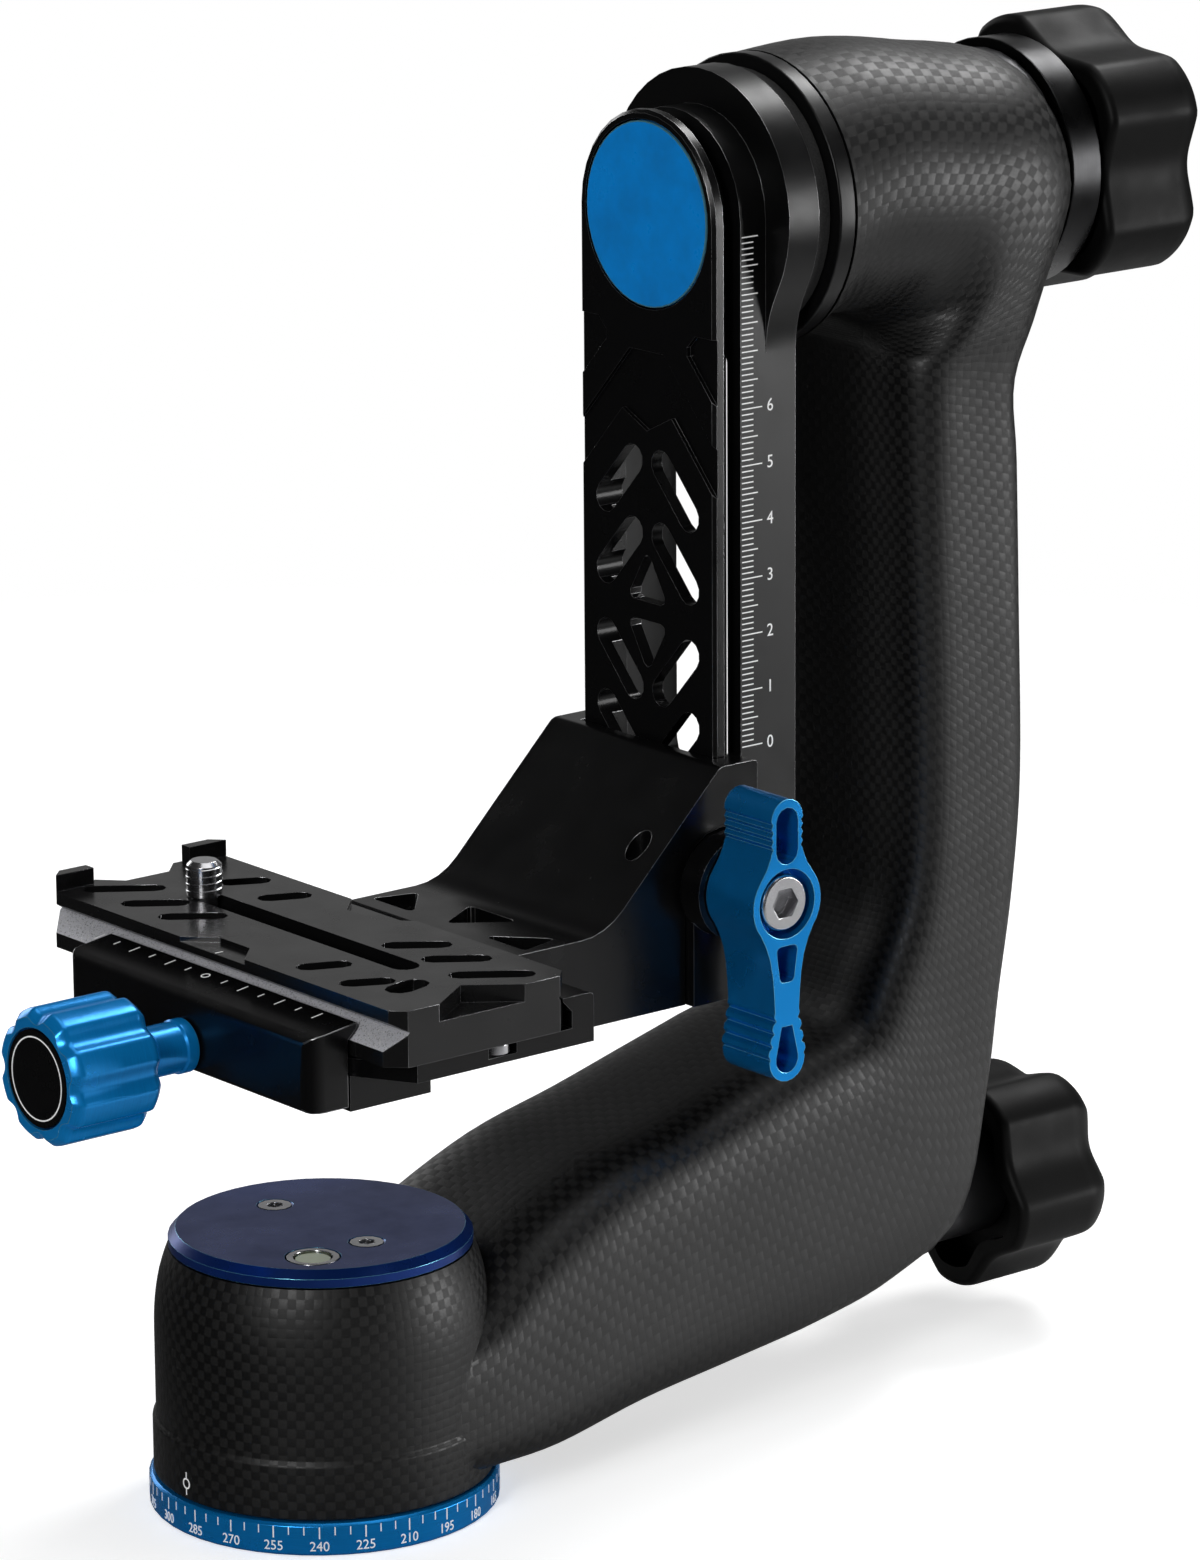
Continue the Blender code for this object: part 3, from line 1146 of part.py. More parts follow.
def swing_plate():
    step_x = PLATE_BACK_X - HUB_WIDTH
    plate = extruded("swing_plate", arch(PLATE_HALF, SWING_BOTTOM_Z), "X", PLATE_X, step_x + OVERRUN)
    fused(plate, extruded("hub", hub_outline(), "X", step_x, PLATE_BACK_X))
    tilt = (0, 0, TILT_HEIGHT)
    seat = PLATE_BACK_X - AXLE_FLANGE_WIDTH - GAP
    seat_bore = rod(
        "bore", AXLE_FLANGE_RADIUS + GAP, seat, PLATE_BACK_X + OVERRUN, "X", tilt, ROUND_STEPS,
    )
    inside = PLATE_HALF - PLATE_WALL
    low = SWING_BOTTOM_Z + SLOT_FOOT
    high = TILT_HEIGHT - SLOT_BELOW_AXIS
    corners = [
        (-inside, low, PLATE_WALL), (inside, low, PLATE_WALL), (inside, high, PLATE_WALL),
        (-inside, high, PLATE_WALL),
    ]
    slot = extruded("slot", rounded(corners, 3), "X", PLATE_X - OVERRUN, PLATE_BACK_X + OVERRUN)
    return cut(plate, seat_bore, slot, hub_screw_holes(), rail_screw_holes())


def tilt_axle():
    seat = PLATE_BACK_X - AXLE_FLANGE_WIDTH
    bore = TILT_SCREW_RADIUS + GAP
    bore_end = AXLE_END_X - TILT_SCREW_GRIP - GAP
    profile = [
        (0, seat), (AXLE_FLANGE_RADIUS, seat), (AXLE_FLANGE_RADIUS, PLATE_BACK_X),
        (SPINDLE_RADIUS, PLATE_BACK_X), (SPINDLE_RADIUS, AXLE_END_X), (bore, AXLE_END_X),
        (bore, bore_end), (0, bore_end),
    ]
    return cut(turned("tilt_axle", profile, "X", (0, 0, TILT_HEIGHT)), hub_screw_holes())


def swing_pieces():
    yield dovetail_rail(), BLACK_METAL
    yield swing_plate(), BLACK_METAL
    yield tilt_axle(), STEEL
    disc = (RAIL_X, RAIL_X + DISC_WIDTH)
    yield rod("hub_disc", DISC_RADIUS, *disc, "X", (0, 0, TILT_HEIGHT), FINE_STEPS), BLUE_METAL
    for i, place in enumerate(hub_screw_places()):
        screw = countersunk(
            f"hub_screw_{i + 1}", M4_RADIUS, M4_HEAD, M4_CONE, HUB_SCREW_LENGTH, HUB_SCREW_X, 1, "X", place,
        )
        yield screw, STEEL
    for i, place in enumerate(rail_screw_places()):
        screw = countersunk(
            f"rail_screw_{i + 1}", M4_RADIUS, M4_HEAD, M4_CONE, RAIL_SCREW_LENGTH, PLATE_BACK_X,
            -1, "X", place,
        )
        yield screw, STEEL


# Cradle bracket and the clamp on its foot
def rail_gap_section():
    """The channel that clears the rail, from the middle out, as places in X and Y."""
    side = RAIL_HALF + GAP
    front = RAIL_X - GAP
    lip = RAIL_X + RAIL_LIP + GAP * (math.sqrt(2) - 1)
    return side, front, lip


def channel_half(x):
    side, _, lip = rail_gap_section()
    return side - (x - lip)


def rail_channel():
    side, front, lip = rail_gap_section()
    back = CRADLE_BACK_X + OVERRUN
    half = [(front, side), (lip, side), (back, channel_half(back))]
    outline = half + [(x, -y) for x, y in reversed(half)]
    return extruded("channel", outline, "Z", CRADLE_BOTTOM_Z - OVERRUN, CRADLE_TOP_Z + OVERRUN)


def jaw_outline(grow, overrun):
    """The jaw seen along Y. Its pocket is the same outline, grown by a clearance."""
    low = CRADLE_BOTTOM_Z - overrun
    back = CRADLE_BACK_X + overrun
    corner = JAW_BACK_CORNER if not overrun else 0
    return rounded([
        (JAW_X - grow, low, 0), (back, low, 0), (back, JAW_TOP_Z + grow, corner),
        (JAW_X - grow, JAW_TOP_Z + grow, JAW_CORNER),
    ])


def cradle_bracket():
    tongue_z = CLAMP_BOTTOM_Z - GAP
    outline = rounded([
        (TONGUE_X, CRADLE_BOTTOM_Z, CRADLE_TOE_CORNER), (CRADLE_BACK_X, CRADLE_BOTTOM_Z, CRADLE_EDGE),
        (CRADLE_BACK_X, CRADLE_TOP_Z, CRADLE_EDGE), (CRADLE_HEAD_X, CRADLE_TOP_Z, CRADLE_HEAD_CORNER),
        (FOOT_INCLINE_X, FOOT_TOP_Z, CRADLE_FILLET), (FOOT_BACK_X, FOOT_TOP_Z, FOOT_LIP_CORNER),
        (FOOT_BACK_X, tongue_z, 0), (TONGUE_X, tongue_z, FOOT_LIP_CORNER),
    ])
    bracket = extruded("cradle_bracket", outline, "Y", -CRADLE_HALF, CRADLE_HALF)
    outside = -CRADLE_HALF - OVERRUN
    jaw_pocket = extruded("pocket", jaw_outline(GAP, OVERRUN), "Y", outside, GAP - JAW_INNER_Y)
    claw = box(
        "claw", (RAIL_X, outside, CRADLE_BOTTOM_Z - OVERRUN),
        (CRADLE_BACK_X + OVERRUN, RAIL_FLANK - RAIL_HALF, JAW_TOP_Z + GAP),
    )
    cut(bracket, rail_channel(), jaw_pocket, claw)
    lever = (LEVER_X, 0, LEVER_Z)
    bolt_end = LEVER_FACE_Y + LEVER_RECESS_DEPTH + BOLT_REACH + GAP
    cut(bracket, rod("bore", BOLT_RADIUS + GAP, outside, bolt_end, "Y", lever))
    pockets = grouped([
        extruded("pocket", rounded(corners, 2), "Z", FOOT_TOP_Z - FOOT_POCKET_DEPTH, FOOT_TOP_Z + OVERRUN)
        for corners in foot_pockets()
    ])
    grub_low = grub_top() - GRUB_LENGTH - GAP
    grub_hole = rod("bore", GRUB_RADIUS + GAP, grub_low, CRADLE_TOP_Z, "Z", grub_place())
    return cut(bracket, pockets, grub_hole, clamp_bolt_holes())


# Pockets in the foot: places along it from the clamp to the incline, and across its half width.
FOOT_POCKET_SHARES = (
    ((0.20, 0.93), (0.62, 0.83), (0.20, 0.41)),
    ((0.21, 0.025), (0.70, -0.29), (0.70, 0.29)),
    ((0.20, -0.93), (0.20, -0.41), (0.62, -0.83)),
)


def foot_pockets():
    length = FOOT_INCLINE_X - FOOT_BACK_X
    for shares in FOOT_POCKET_SHARES:
        yield [
            (FOOT_BACK_X + along * length, across * CRADLE_HALF, FOOT_POCKET_CORNER)
            for along, across in shares
        ]


def grub_place():
    return (FOOT_INCLINE_X + GRUB_RISE, GRUB_EDGE - CRADLE_HALF, 0)


def grub_top():
    return FOOT_TOP_Z + GRUB_RISE - GRUB_SINK


def grub_screw():
    top = grub_top()
    place = grub_place()
    grub = rod("grub_screw", GRUB_RADIUS, top - GRUB_LENGTH, top, "Z", place)
    socket = hexagon_rod("socket", GRUB_SOCKET, top - 0.4 * GRUB_LENGTH, top + OVERRUN, "Z", place)
    return cut(grub, socket)


def clamp_bolt_places():
    return [(CLAMP_BOLT_X, side * CLAMP_BOLT_PLACE, 0) for side in (-1, 1)]


def clamp_bolt_holes():
    return grouped([
        countersink(M4_RADIUS, M4_HEAD, M4_CONE, CLAMP_BOLT_LENGTH, CLAMP_TOP_Z, -1, "Z", place)
        for place in clamp_bolt_places()
    ])


def clamp_body():
    end = CLAMP_HALF + CLAMP_END_REACH
    inset_x = KEEL_X + CLAMP_END_INSET
    floor = [
        (KEEL_X, -CLAMP_HALF), (inset_x, -end), (CLAMP_OUT_X, -end), (CLAMP_OUT_X, end), (inset_x, end),
        (KEEL_X, CLAMP_HALF),
    ]
    body = extruded("clamp_body", floor, "Z", CLAMP_BOTTOM_Z, CLAMP_TOP_Z)
    lip_x = CLAMP_IN_X - CLAMP_LIP
    start_z = flank_start_z()
    tip_z = start_z + CLAMP_LIP
    wall = rounded([
        (CLAMP_IN_X, CLAMP_BOTTOM_Z, 0), (CLAMP_OUT_X, CLAMP_BOTTOM_Z, 0),
        (CLAMP_OUT_X, tip_z + CLAMP_LIP_EDGE, CLAMP_EDGE), (lip_x, tip_z + CLAMP_LIP_EDGE, 0),
        (lip_x, tip_z, 0), (CLAMP_IN_X, start_z, 0),
    ], 2)
    keel_back = KEEL_X + CLAMP_KEEL_WIDTH
    keel = box("keel", (KEEL_X, -CLAMP_HALF, CLAMP_KEEL_Z), (keel_back, CLAMP_HALF, CLAMP_TOP_Z))
    fused(body, extruded("wall", wall, "Y", -end, end), keel)
    ends = (KEEL_X - OVERRUN, KEEL_X + CLAMP_KEEL_WIDTH + OVERRUN)
    bores = [rod("bore", CLAMP_SCREW_RADIUS + GAP, *ends, "X", (0, 0, KNOB_Z))]
    bores += [rod("bore", GUIDE_RADIUS + GAP, *ends, "X", place) for place in guide_places()]
    cut(body, grouped(bores), clamp_bolt_holes())
    return cut(body, *stop_pockets())


def flank_start_z():
    """Where the gap along the lens plate's flank meets the clamp's upright wall."""
    return LENS_BOTTOM_Z + lens_flank_rise() + GAP * (math.sqrt(2) - 1)


def lens_flank_rise():
    return LENS_HEIGHT - LENS_DECK_EDGE - LENS_NECK - LENS_FLANK


def stop_pockets():
    low = CLAMP_TOP_Z - STOP_POCKET_DEPTH
    end = CLAMP_HALF + CLAMP_END_REACH + OVERRUN
    room = STOP_TRAVEL + STOP_HEAD + GAP
    left = STOP_PLACE_X - STOP_POCKET_HALF
    right = STOP_PLACE_X + STOP_POCKET_HALF
    near = LENS_NEAR_Y + STOP_EDGE + room
    far = LENS_FAR_Y - STOP_EDGE - NOTCH_SHIFT - room
    return [
        box("pocket", (left, -end, low), (right, near, CLAMP_TOP_Z + OVERRUN)),
        box("pocket", (left, far, low), (right, end, CLAMP_TOP_Z + OVERRUN)),
    ]


def guide_places():
    return [(0, side * GUIDE_PLACE, KNOB_Z) for side in (-1, 1)]


def cradle_pieces():
    yield cradle_bracket(), BLACK_METAL
    yield grub_screw(), BLACK_METAL
    yield clamp_body(), BLACK_METAL
    for i, place in enumerate(clamp_bolt_places()):
        bolt = countersunk(
            f"clamp_bolt_{i + 1}", M4_RADIUS, M4_HEAD, M4_CONE, CLAMP_BOLT_LENGTH, CLAMP_TOP_Z,
            -1, "Z", place,
        )
        yield bolt, STEEL


# Rail jaw, height lever and its bolt
def rail_jaw():
    lever = (LEVER_X, 0, LEVER_Z)
    jaw = extruded("rail_jaw", jaw_outline(0, 0), "Y", JAW_FACE_Y, -JAW_INNER_Y)
    side, _, lip = rail_gap_section()
    start = lip + side - JAW_INNER_Y
    claw = [(start, -JAW_INNER_Y), (CRADLE_BACK_X, -channel_half(CRADLE_BACK_X))]
    inside = 0.5 * (JAW_FACE_Y - JAW_INNER_Y)
    claw += [(CRADLE_BACK_X, inside), (start, inside)]
    claw_top = JAW_TOP_Z - JAW_BACK_CORNER
    fused(
        jaw, extruded("claw", claw, "Z", CRADLE_BOTTOM_Z, claw_top),
        rod("boss", JAW_BOSS_RADIUS, JAW_BOSS_Y, JAW_FACE_Y + OVERRUN, "Y", lever, ROUND_STEPS),
    )
    ends = (JAW_BOSS_Y - OVERRUN, OVERRUN - JAW_INNER_Y)
    return cut(jaw, rod("bore", BOLT_RADIUS + GAP, *ends, "Y", lever))


# The lever's right side, from its top to its foot: half widths as shares of the hub's radius,
# heights as shares of the arm above the axis or of the arm below it.
LEVER_UPPER_SHARES = ((0.47, 0.48), (0.60, 0.36))
LEVER_LOWER_SHARES = ((0.62, -0.22), (0.50, -0.30), (0.42, -0.40), (0.38, -0.50))
LEVER_TOP_RIB_SHARES = (0.78, 0.70, 0.62, 0.54)
LEVER_FOOT_RIB_SHARES = (-0.60, -0.67, -0.74, -0.81)
LEVER_RIB_SHARE = 0.025


def lever_side():
    """The right half of the lever's outline, from the top down, as places from its axis."""
    top = LEVER_UP - LEVER_ARM_HALF
    side = arc((0, top), LEVER_ARM_HALF, math.pi / 2, 0, 5)
    for share in LEVER_TOP_RIB_SHARES:
        side.append((LEVER_ARM_HALF - LEVER_RIB, share * LEVER_UP))
        side.append((LEVER_ARM_HALF, (share - 1.6 * LEVER_RIB_SHARE) * LEVER_UP))
    side += [(a * LEVER_HUB, b * LEVER_UP) for a, b in LEVER_UPPER_SHARES]
    side += arc((0, 0), LEVER_HUB, math.radians(38), math.radians(-40), 7)
    side += [(a * LEVER_HUB, -b * -LEVER_DOWN) for a, b in LEVER_LOWER_SHARES]
    start, end = LEVER_FOOT_RIB_SHARES[0], LEVER_FOOT_RIB_SHARES[-1]
    for share in LEVER_FOOT_RIB_SHARES:
        along = (share - start) / (end - start)
        half = LEVER_NECK_HALF + along * (LEVER_TIP_HALF - LEVER_NECK_HALF)
        side.append((half, share * LEVER_DOWN))
        side.append((half + 0.4 * LEVER_RIB, (share - LEVER_RIB_SHARE) * LEVER_DOWN))
        side.append((half - 0.6 * LEVER_RIB, (share - 2 * LEVER_RIB_SHARE) * LEVER_DOWN))
    side += arc((0, LEVER_TIP_HALF - LEVER_DOWN), LEVER_TIP_HALF, 0, -math.pi / 2, 5)
    return side


def height_lever():
    right = lever_side()
    outline = right + [(-a, b) for a, b in reversed(right[1:-1])]
    outline = [(LEVER_X + a, LEVER_Z + b) for a, b in outline]
    lever = extruded("height_lever", outline, "Y", LEVER_FACE_Y, LEVER_BACK_Y)
    ends = (LEVER_FACE_Y - OVERRUN, LEVER_BACK_Y + OVERRUN)
    drop_z = LEVER_Z - LEVER_DOWN + LEVER_TIP_HALF
    drop_top = LEVER_Z - LEVER_DROP_TOP
    drop = [(LEVER_X + LEVER_DROP_HALF, drop_top), (LEVER_X - LEVER_DROP_HALF, drop_top)]
    drop += arc((LEVER_X, drop_z), LEVER_DROP_RADIUS, math.pi - 0.2, 2 * math.pi + 0.2, 8)
    slot = capsule(
        (LEVER_X, LEVER_Z + LEVER_SLOT_LOW), (LEVER_X, LEVER_Z + LEVER_SLOT_HIGH), LEVER_SLOT_HALF,
    )
    mid_top = LEVER_Z - LEVER_MID_TOP
    mid_bottom = LEVER_Z - LEVER_MID_BOTTOM
    mid = rounded([
        (LEVER_X - LEVER_MID_HALF, mid_top, LEVER_CORNER), (LEVER_X + LEVER_MID_HALF, mid_top, LEVER_CORNER),
        (LEVER_X + LEVER_MID_END_HALF, mid_bottom, LEVER_CORNER),
        (LEVER_X - LEVER_MID_END_HALF, mid_bottom, LEVER_CORNER),
    ], 3)
    axis = (LEVER_X, 0, LEVER_Z)
    seat = LEVER_FACE_Y + LEVER_RECESS_DEPTH
    bore = turned("bore", [
        (0, ends[0]), (LEVER_RECESS_RADIUS, ends[0]), (LEVER_RECESS_RADIUS, seat),
        (BOLT_RADIUS + GAP, seat), (BOLT_RADIUS + GAP, ends[1]), (0, ends[1]),
    ], "Y", axis)
    windows = [extruded("window", outline, "Y", *ends) for outline in (slot, mid, drop)]
    return cut(lever, grouped(windows + [bore]))


def lever_bolt():
    seat = LEVER_FACE_Y + LEVER_RECESS_DEPTH - GAP
    top = seat - BOLT_HEAD_HEIGHT
    edge = 0.1 * BOLT_HEAD_HEIGHT
    profile = [
        (0, top), (BOLT_HEAD_RADIUS - edge, top), (BOLT_HEAD_RADIUS, top + edge), (BOLT_HEAD_RADIUS, seat),
        (BOLT_RADIUS, seat), (BOLT_RADIUS, seat + BOLT_REACH), (0, seat + BOLT_REACH),
    ]
    axis = (LEVER_X, 0, LEVER_Z)
    socket = hexagon_rod("socket", BOLT_SOCKET, top - OVERRUN, top + BOLT_SOCKET_DEPTH, "Y", axis)
    return cut(turned("lever_bolt", profile, "Y", axis), socket)


# Sliding jaw of the clamp, its pins and its knob
def clamp_jaw():
    start_z = flank_start_z()
    tip_z = start_z + CLAMP_LIP
    tip_x = -SLIDER_IN + CLAMP_LIP
    outline = rounded([
        (-SLIDER_IN, SLIDER_BOTTOM_Z, 0), (-SLIDER_IN, start_z, 0), (tip_x, tip_z, 0),
        (tip_x, SLIDER_LIP_Z, 0), (-SLIDER_OUT, SLIDER_SHOULDER_Z, SLIDER_CORNER),
        (-SLIDER_OUT, SLIDER_BOTTOM_Z, CLAMP_EDGE),
    ], 3)
    jaw = extruded("clamp_jaw", outline, "Y", -CLAMP_HALF, CLAMP_HALF)
    plan = rounded([
        (-SLIDER_OUT, -CLAMP_HALF, SLIDER_END_RADIUS), (0, -CLAMP_HALF, 0), (0, CLAMP_HALF, 0),
        (-SLIDER_OUT, CLAMP_HALF, SLIDER_END_RADIUS),
    ], 4)
    block = extruded("plan", plan, "Z", SLIDER_BOTTOM_Z - OVERRUN, SLIDER_LIP_Z + CLAMP_LIP)
    combined(jaw, [block], "INTERSECT")
    ends = (-SLIDER_OUT - OVERRUN, OVERRUN - SLIDER_IN)
    bores = [rod("bore", CLAMP_SCREW_RADIUS + GAP, *ends, "X", (0, 0, KNOB_Z))]
    blind = GUIDE_X - GAP
    bores += [rod("bore", GUIDE_RADIUS + GAP, blind, ends[1], "X", place) for place in guide_places()]
    return cut(jaw, grouped(bores))


def clamp_jaw_pieces():
    yield clamp_jaw(), BLACK_METAL
    for i, place in enumerate(guide_places()):
        pin = rod(f"guide_pin_{i + 1}", GUIDE_RADIUS, GUIDE_X, GUIDE_X + GUIDE_LENGTH, "X", place)
        yield pin, STEEL


def fluted_ring(shrink, along):
    points = []
    count = GRIP_FLUTES * FLUTE_STEPS
    for i in range(count):
        angle = 2 * math.pi * i / count
        flute = max(0, math.cos(GRIP_FLUTES * angle)) ** 0.8
        reach = GRIP_RADIUS - shrink - GRIP_FLUTE_DEPTH * flute
        points.append((along, reach * math.cos(angle), KNOB_Z + reach * math.sin(angle)))
    return points


def clamp_knob():
    place = (0, 0, KNOB_Z)
    grip = lofted("clamp_knob", [
        fluted_ring(GRIP_BEVEL, GRIP_FACE_X), fluted_ring(0, GRIP_FACE_X + GRIP_BEVEL),
        fluted_ring(0, GRIP_X - GRIP_BEVEL), fluted_ring(GRIP_BEVEL, GRIP_X),
    ])
    fused(grip, rod("neck", GRIP_NECK_RADIUS, GRIP_X - OVERRUN, GRIP_NECK_X, "X", place))
    seat = GRIP_FACE_X + INSERT_WIDTH + GAP
    recess = rod("recess", INSERT_RADIUS + GAP, GRIP_FACE_X - OVERRUN, seat, "X", place, ROUND_STEPS)
    bore_ends = (GRIP_X - CLAMP_SCREW_HOLD - GAP, GRIP_NECK_X + OVERRUN)
    return cut(grip, recess, rod("bore", CLAMP_SCREW_RADIUS + GAP, *bore_ends, "X", place))


def clamp_knob_pieces():
    place = (0, 0, KNOB_Z)
    yield clamp_knob(), BLUE_METAL
    face = (GRIP_FACE_X, GRIP_FACE_X + INSERT_WIDTH)
    yield rod("knob_insert", INSERT_RADIUS, *face, "X", place, ROUND_STEPS), BLACK_METAL
    ends = (GRIP_X - CLAMP_SCREW_HOLD, KEEL_X + CLAMP_SCREW_GRIP)
    yield rod("clamp_screw", CLAMP_SCREW_RADIUS, *ends, "X", place), STEEL


# Lens plate, its stop screws and the camera screw
def lens_plate():
    low = LENS_BOTTOM_Z
    flank = low + lens_flank_rise()
    neck = flank + LENS_FLANK
    half = [
        (LENS_FLANK_HALF, low), (LENS_FLANK_HALF, flank), (LENS_NECK_HALF, neck),
        (LENS_HALF, neck + LENS_NECK), (LENS_HALF, LENS_TOP_Z),
    ]
    outline = half + [(-a, b) for a, b in reversed(half)]
    plate = extruded("lens_plate", outline, "Y", LENS_NEAR_Y, LENS_FAR_Y)
    lip_in = LENS_HALF - LIP_LENGTH
    lips = [
        box(
            "lip", (min(side * lip_in, side * LENS_HALF), LENS_FAR_Y - LIP_WIDTH, LENS_TOP_Z - OVERRUN),
            (max(side * lip_in, side * LENS_HALF), LENS_FAR_Y, LENS_TOP_Z + LIP_HEIGHT),
        )
        for side in (-1, 1)
    ]
    fused(plate, *lips)
    return cut(plate, *plate_corners(), *deck_cutters(), *stop_holes())


def plate_corners():
    """The plate's four corners, cut off upright."""
    reach = LENS_CORNER + OVERRUN
    ends = (LENS_BOTTOM_Z - OVERRUN, LENS_TOP_Z + LIP_HEIGHT + OVERRUN)
    cutters = []
    for side in (-1, 1):
        for y, way in ((LENS_NEAR_Y, -1), (LENS_FAR_Y, 1)):
            x = side * (LENS_FLANK_HALF - LENS_CORNER)
            corner = [
                (x - side * OVERRUN, y + way * OVERRUN), (x + side * reach, y + way * OVERRUN),
                (x + side * reach, y - way * reach),
            ]
            cutters.append(extruded("corner", corner, "Z", *ends))
    return cutters


# Slots in the deck: each end as shares of its half width and of half its length, and which
# way round it lies. Each has a partner turned half a turn about the middle of the deck.
DECK_SLOT_SHARES = (
    ((-0.67, 0.90), (-0.20, 0.775)),
    ((-0.68, 0.66), (-0.33, 0.565)),
    ((-0.68, 0.44), (-0.33, 0.345)),
    ((0.45, 0.665), (0.72, 0.615)),
    ((0.42, 0.41), (0.70, 0.365)),
)
LARGE_SLOT_SHARES = ((-0.50, -0.775), (-0.28, -0.755))
LARGE_SLOT_SHARE = 1.2


def deck_cutters():
    top = LENS_TOP_Z + OVERRUN
    low = LENS_TOP_Z - DECK_SLOT_DEPTH
    length = 0.5 * (LENS_FAR_Y - LENS_NEAR_Y)
    middle = LENS_NEAR_Y + length
    slots = []
    for way in (1, -1):
        for ends in DECK_SLOT_SHARES:
            start, end = ((way * a * LENS_HALF, middle + way * b * length) for a, b in ends)
            slots.append(extruded("slot", capsule(start, end, DECK_SLOT_RADIUS, 4), "Z", low, top))
    start, end = ((a * LENS_HALF, middle + b * length) for a, b in LARGE_SLOT_SHARES)
    large = capsule(start, end, LARGE_SLOT_SHARE * DECK_SLOT_RADIUS, 4)
    slots.append(extruded("slot", large, "Z", low, top))
    notch = [
        (-NOTCH_HALF, LENS_FAR_Y + OVERRUN), (-NOTCH_HALF, LENS_FAR_Y),
        (-NOTCH_FLAT_HALF, LENS_FAR_Y - NOTCH_DEPTH), (NOTCH_FLAT_HALF, LENS_FAR_Y - NOTCH_DEPTH),
        (NOTCH_HALF, LENS_FAR_Y), (NOTCH_HALF, LENS_FAR_Y + OVERRUN),
    ]
    below = LENS_BOTTOM_Z - OVERRUN
    cutters = [grouped(slots), extruded("notch", notch, "Z", below, top)]
    pocket = [
        (-NEAR_POCKET_LEFT, LENS_NEAR_Y - OVERRUN), (-NEAR_POCKET_LEFT, LENS_NEAR_Y),
        (0, LENS_NEAR_Y + NEAR_POCKET_REACH), (NEAR_POCKET_RIGHT, LENS_NEAR_Y),
        (NEAR_POCKET_RIGHT, LENS_NEAR_Y - OVERRUN),
    ]
    cutters.append(extruded("pocket", pocket, "Z", LENS_TOP_Z - NEAR_POCKET_DEPTH, top))
    ends = ((0, CAMERA_SLOT_NEAR_Y + CAMERA_SLOT_HALF), (0, CAMERA_SCREW_Y))
    cutters.append(extruded("slot", capsule(*ends, CAMERA_SLOT_HALF), "Z", below, top))
    channel = capsule(*ends, CAMERA_CHANNEL_HALF, 8)
    cutters.append(extruded("channel", channel, "Z", below, LENS_BOTTOM_Z + CAMERA_CHANNEL_DEPTH))
    for side in (-1, 1):
        edge = side * (LENS_HALF + OVERRUN)
        inner = side * (LENS_HALF - SIDE_STEP_IN)
        step = [
            (edge, SIDE_STEP_NEAR - SIDE_STEP_SLANT), (inner, SIDE_STEP_NEAR), (inner, SIDE_STEP_FAR),
            (edge, SIDE_STEP_FAR + SIDE_STEP_SLANT),
        ]
        cutters.append(extruded("step", step, "Z", LENS_TOP_Z - SIDE_STEP_DEPTH, top))
    return cutters


def stop_places():
    far = LENS_FAR_Y - STOP_EDGE - NOTCH_SHIFT
    return [(STOP_PLACE_X, LENS_NEAR_Y + STOP_EDGE, 0), (STOP_PLACE_X, far, 0)]


def stop_holes():
    ends = (LENS_BOTTOM_Z - OVERRUN, LENS_BOTTOM_Z + STOP_SINK + GAP)
    return [rod("bore", STOP_RADIUS + GAP, *ends, "Z", place) for place in stop_places()]


def stop_screw(name, place):
    under = LENS_BOTTOM_Z - GAP
    head = under - STOP_HEIGHT
    profile = [
        (0, head), (STOP_HEAD, head), (STOP_HEAD, under), (STOP_RADIUS, under),
        (STOP_RADIUS, LENS_BOTTOM_Z + STOP_SINK), (0, LENS_BOTTOM_Z + STOP_SINK),
    ]
    screw = turned(name, profile, "Z", place, SMALL_STEPS)
    depth = head + 0.5 * STOP_HEIGHT
    return cut(screw, hexagon_rod("socket", 0.5 * STOP_HEAD, head - OVERRUN, depth, "Z", place))


def lens_plate_pieces():
    yield lens_plate(), BLACK_METAL
    for name, place in zip(("stop_screw_near", "stop_screw_far"), stop_places()):
        yield stop_screw(name, place), STEEL


def camera_place():
    return (0, CAMERA_SCREW_Y, 0)


def screw_washer():
    high = LENS_BOTTOM_Z + CAMERA_CHANNEL_DEPTH - GAP
    bore = CAMERA_NECK_RADIUS + GAP
    return ring("screw_washer", bore, CAMERA_HEAD_RADIUS, high - CAMERA_WASHER, high, "Z", camera_place())


def camera_screw():
    seat = LENS_BOTTOM_Z + CAMERA_CHANNEL_DEPTH - GAP - CAMERA_WASHER - GAP
    head = seat - CAMERA_HEAD_HEIGHT
    thread = LENS_TOP_Z + GAP
    top = thread + CAMERA_SCREW_PROUD
    profile = [
        (0, head), (CAMERA_HEAD_RADIUS, head), (CAMERA_HEAD_RADIUS, seat), (CAMERA_NECK_RADIUS, seat),
        (CAMERA_NECK_RADIUS, thread), (CAMERA_SCREW_RADIUS, thread),
        (CAMERA_SCREW_RADIUS, top - CAMERA_SCREW_TIP), (CAMERA_SCREW_RADIUS - CAMERA_SCREW_TIP, top),
        (0, top),
    ]
    screw = turned("camera_screw", profile, "Z", camera_place())
    reach = CAMERA_HEAD_RADIUS + OVERRUN
    driver = box(
        "driver", (-reach, CAMERA_SCREW_Y - CAMERA_DRIVER_HALF, head - OVERRUN),
        (reach, CAMERA_SCREW_Y + CAMERA_DRIVER_HALF, head + CAMERA_DRIVER_DEPTH),
    )
    return cut(screw, driver)


def camera_screw_pieces():
    yield camera_screw(), STEEL


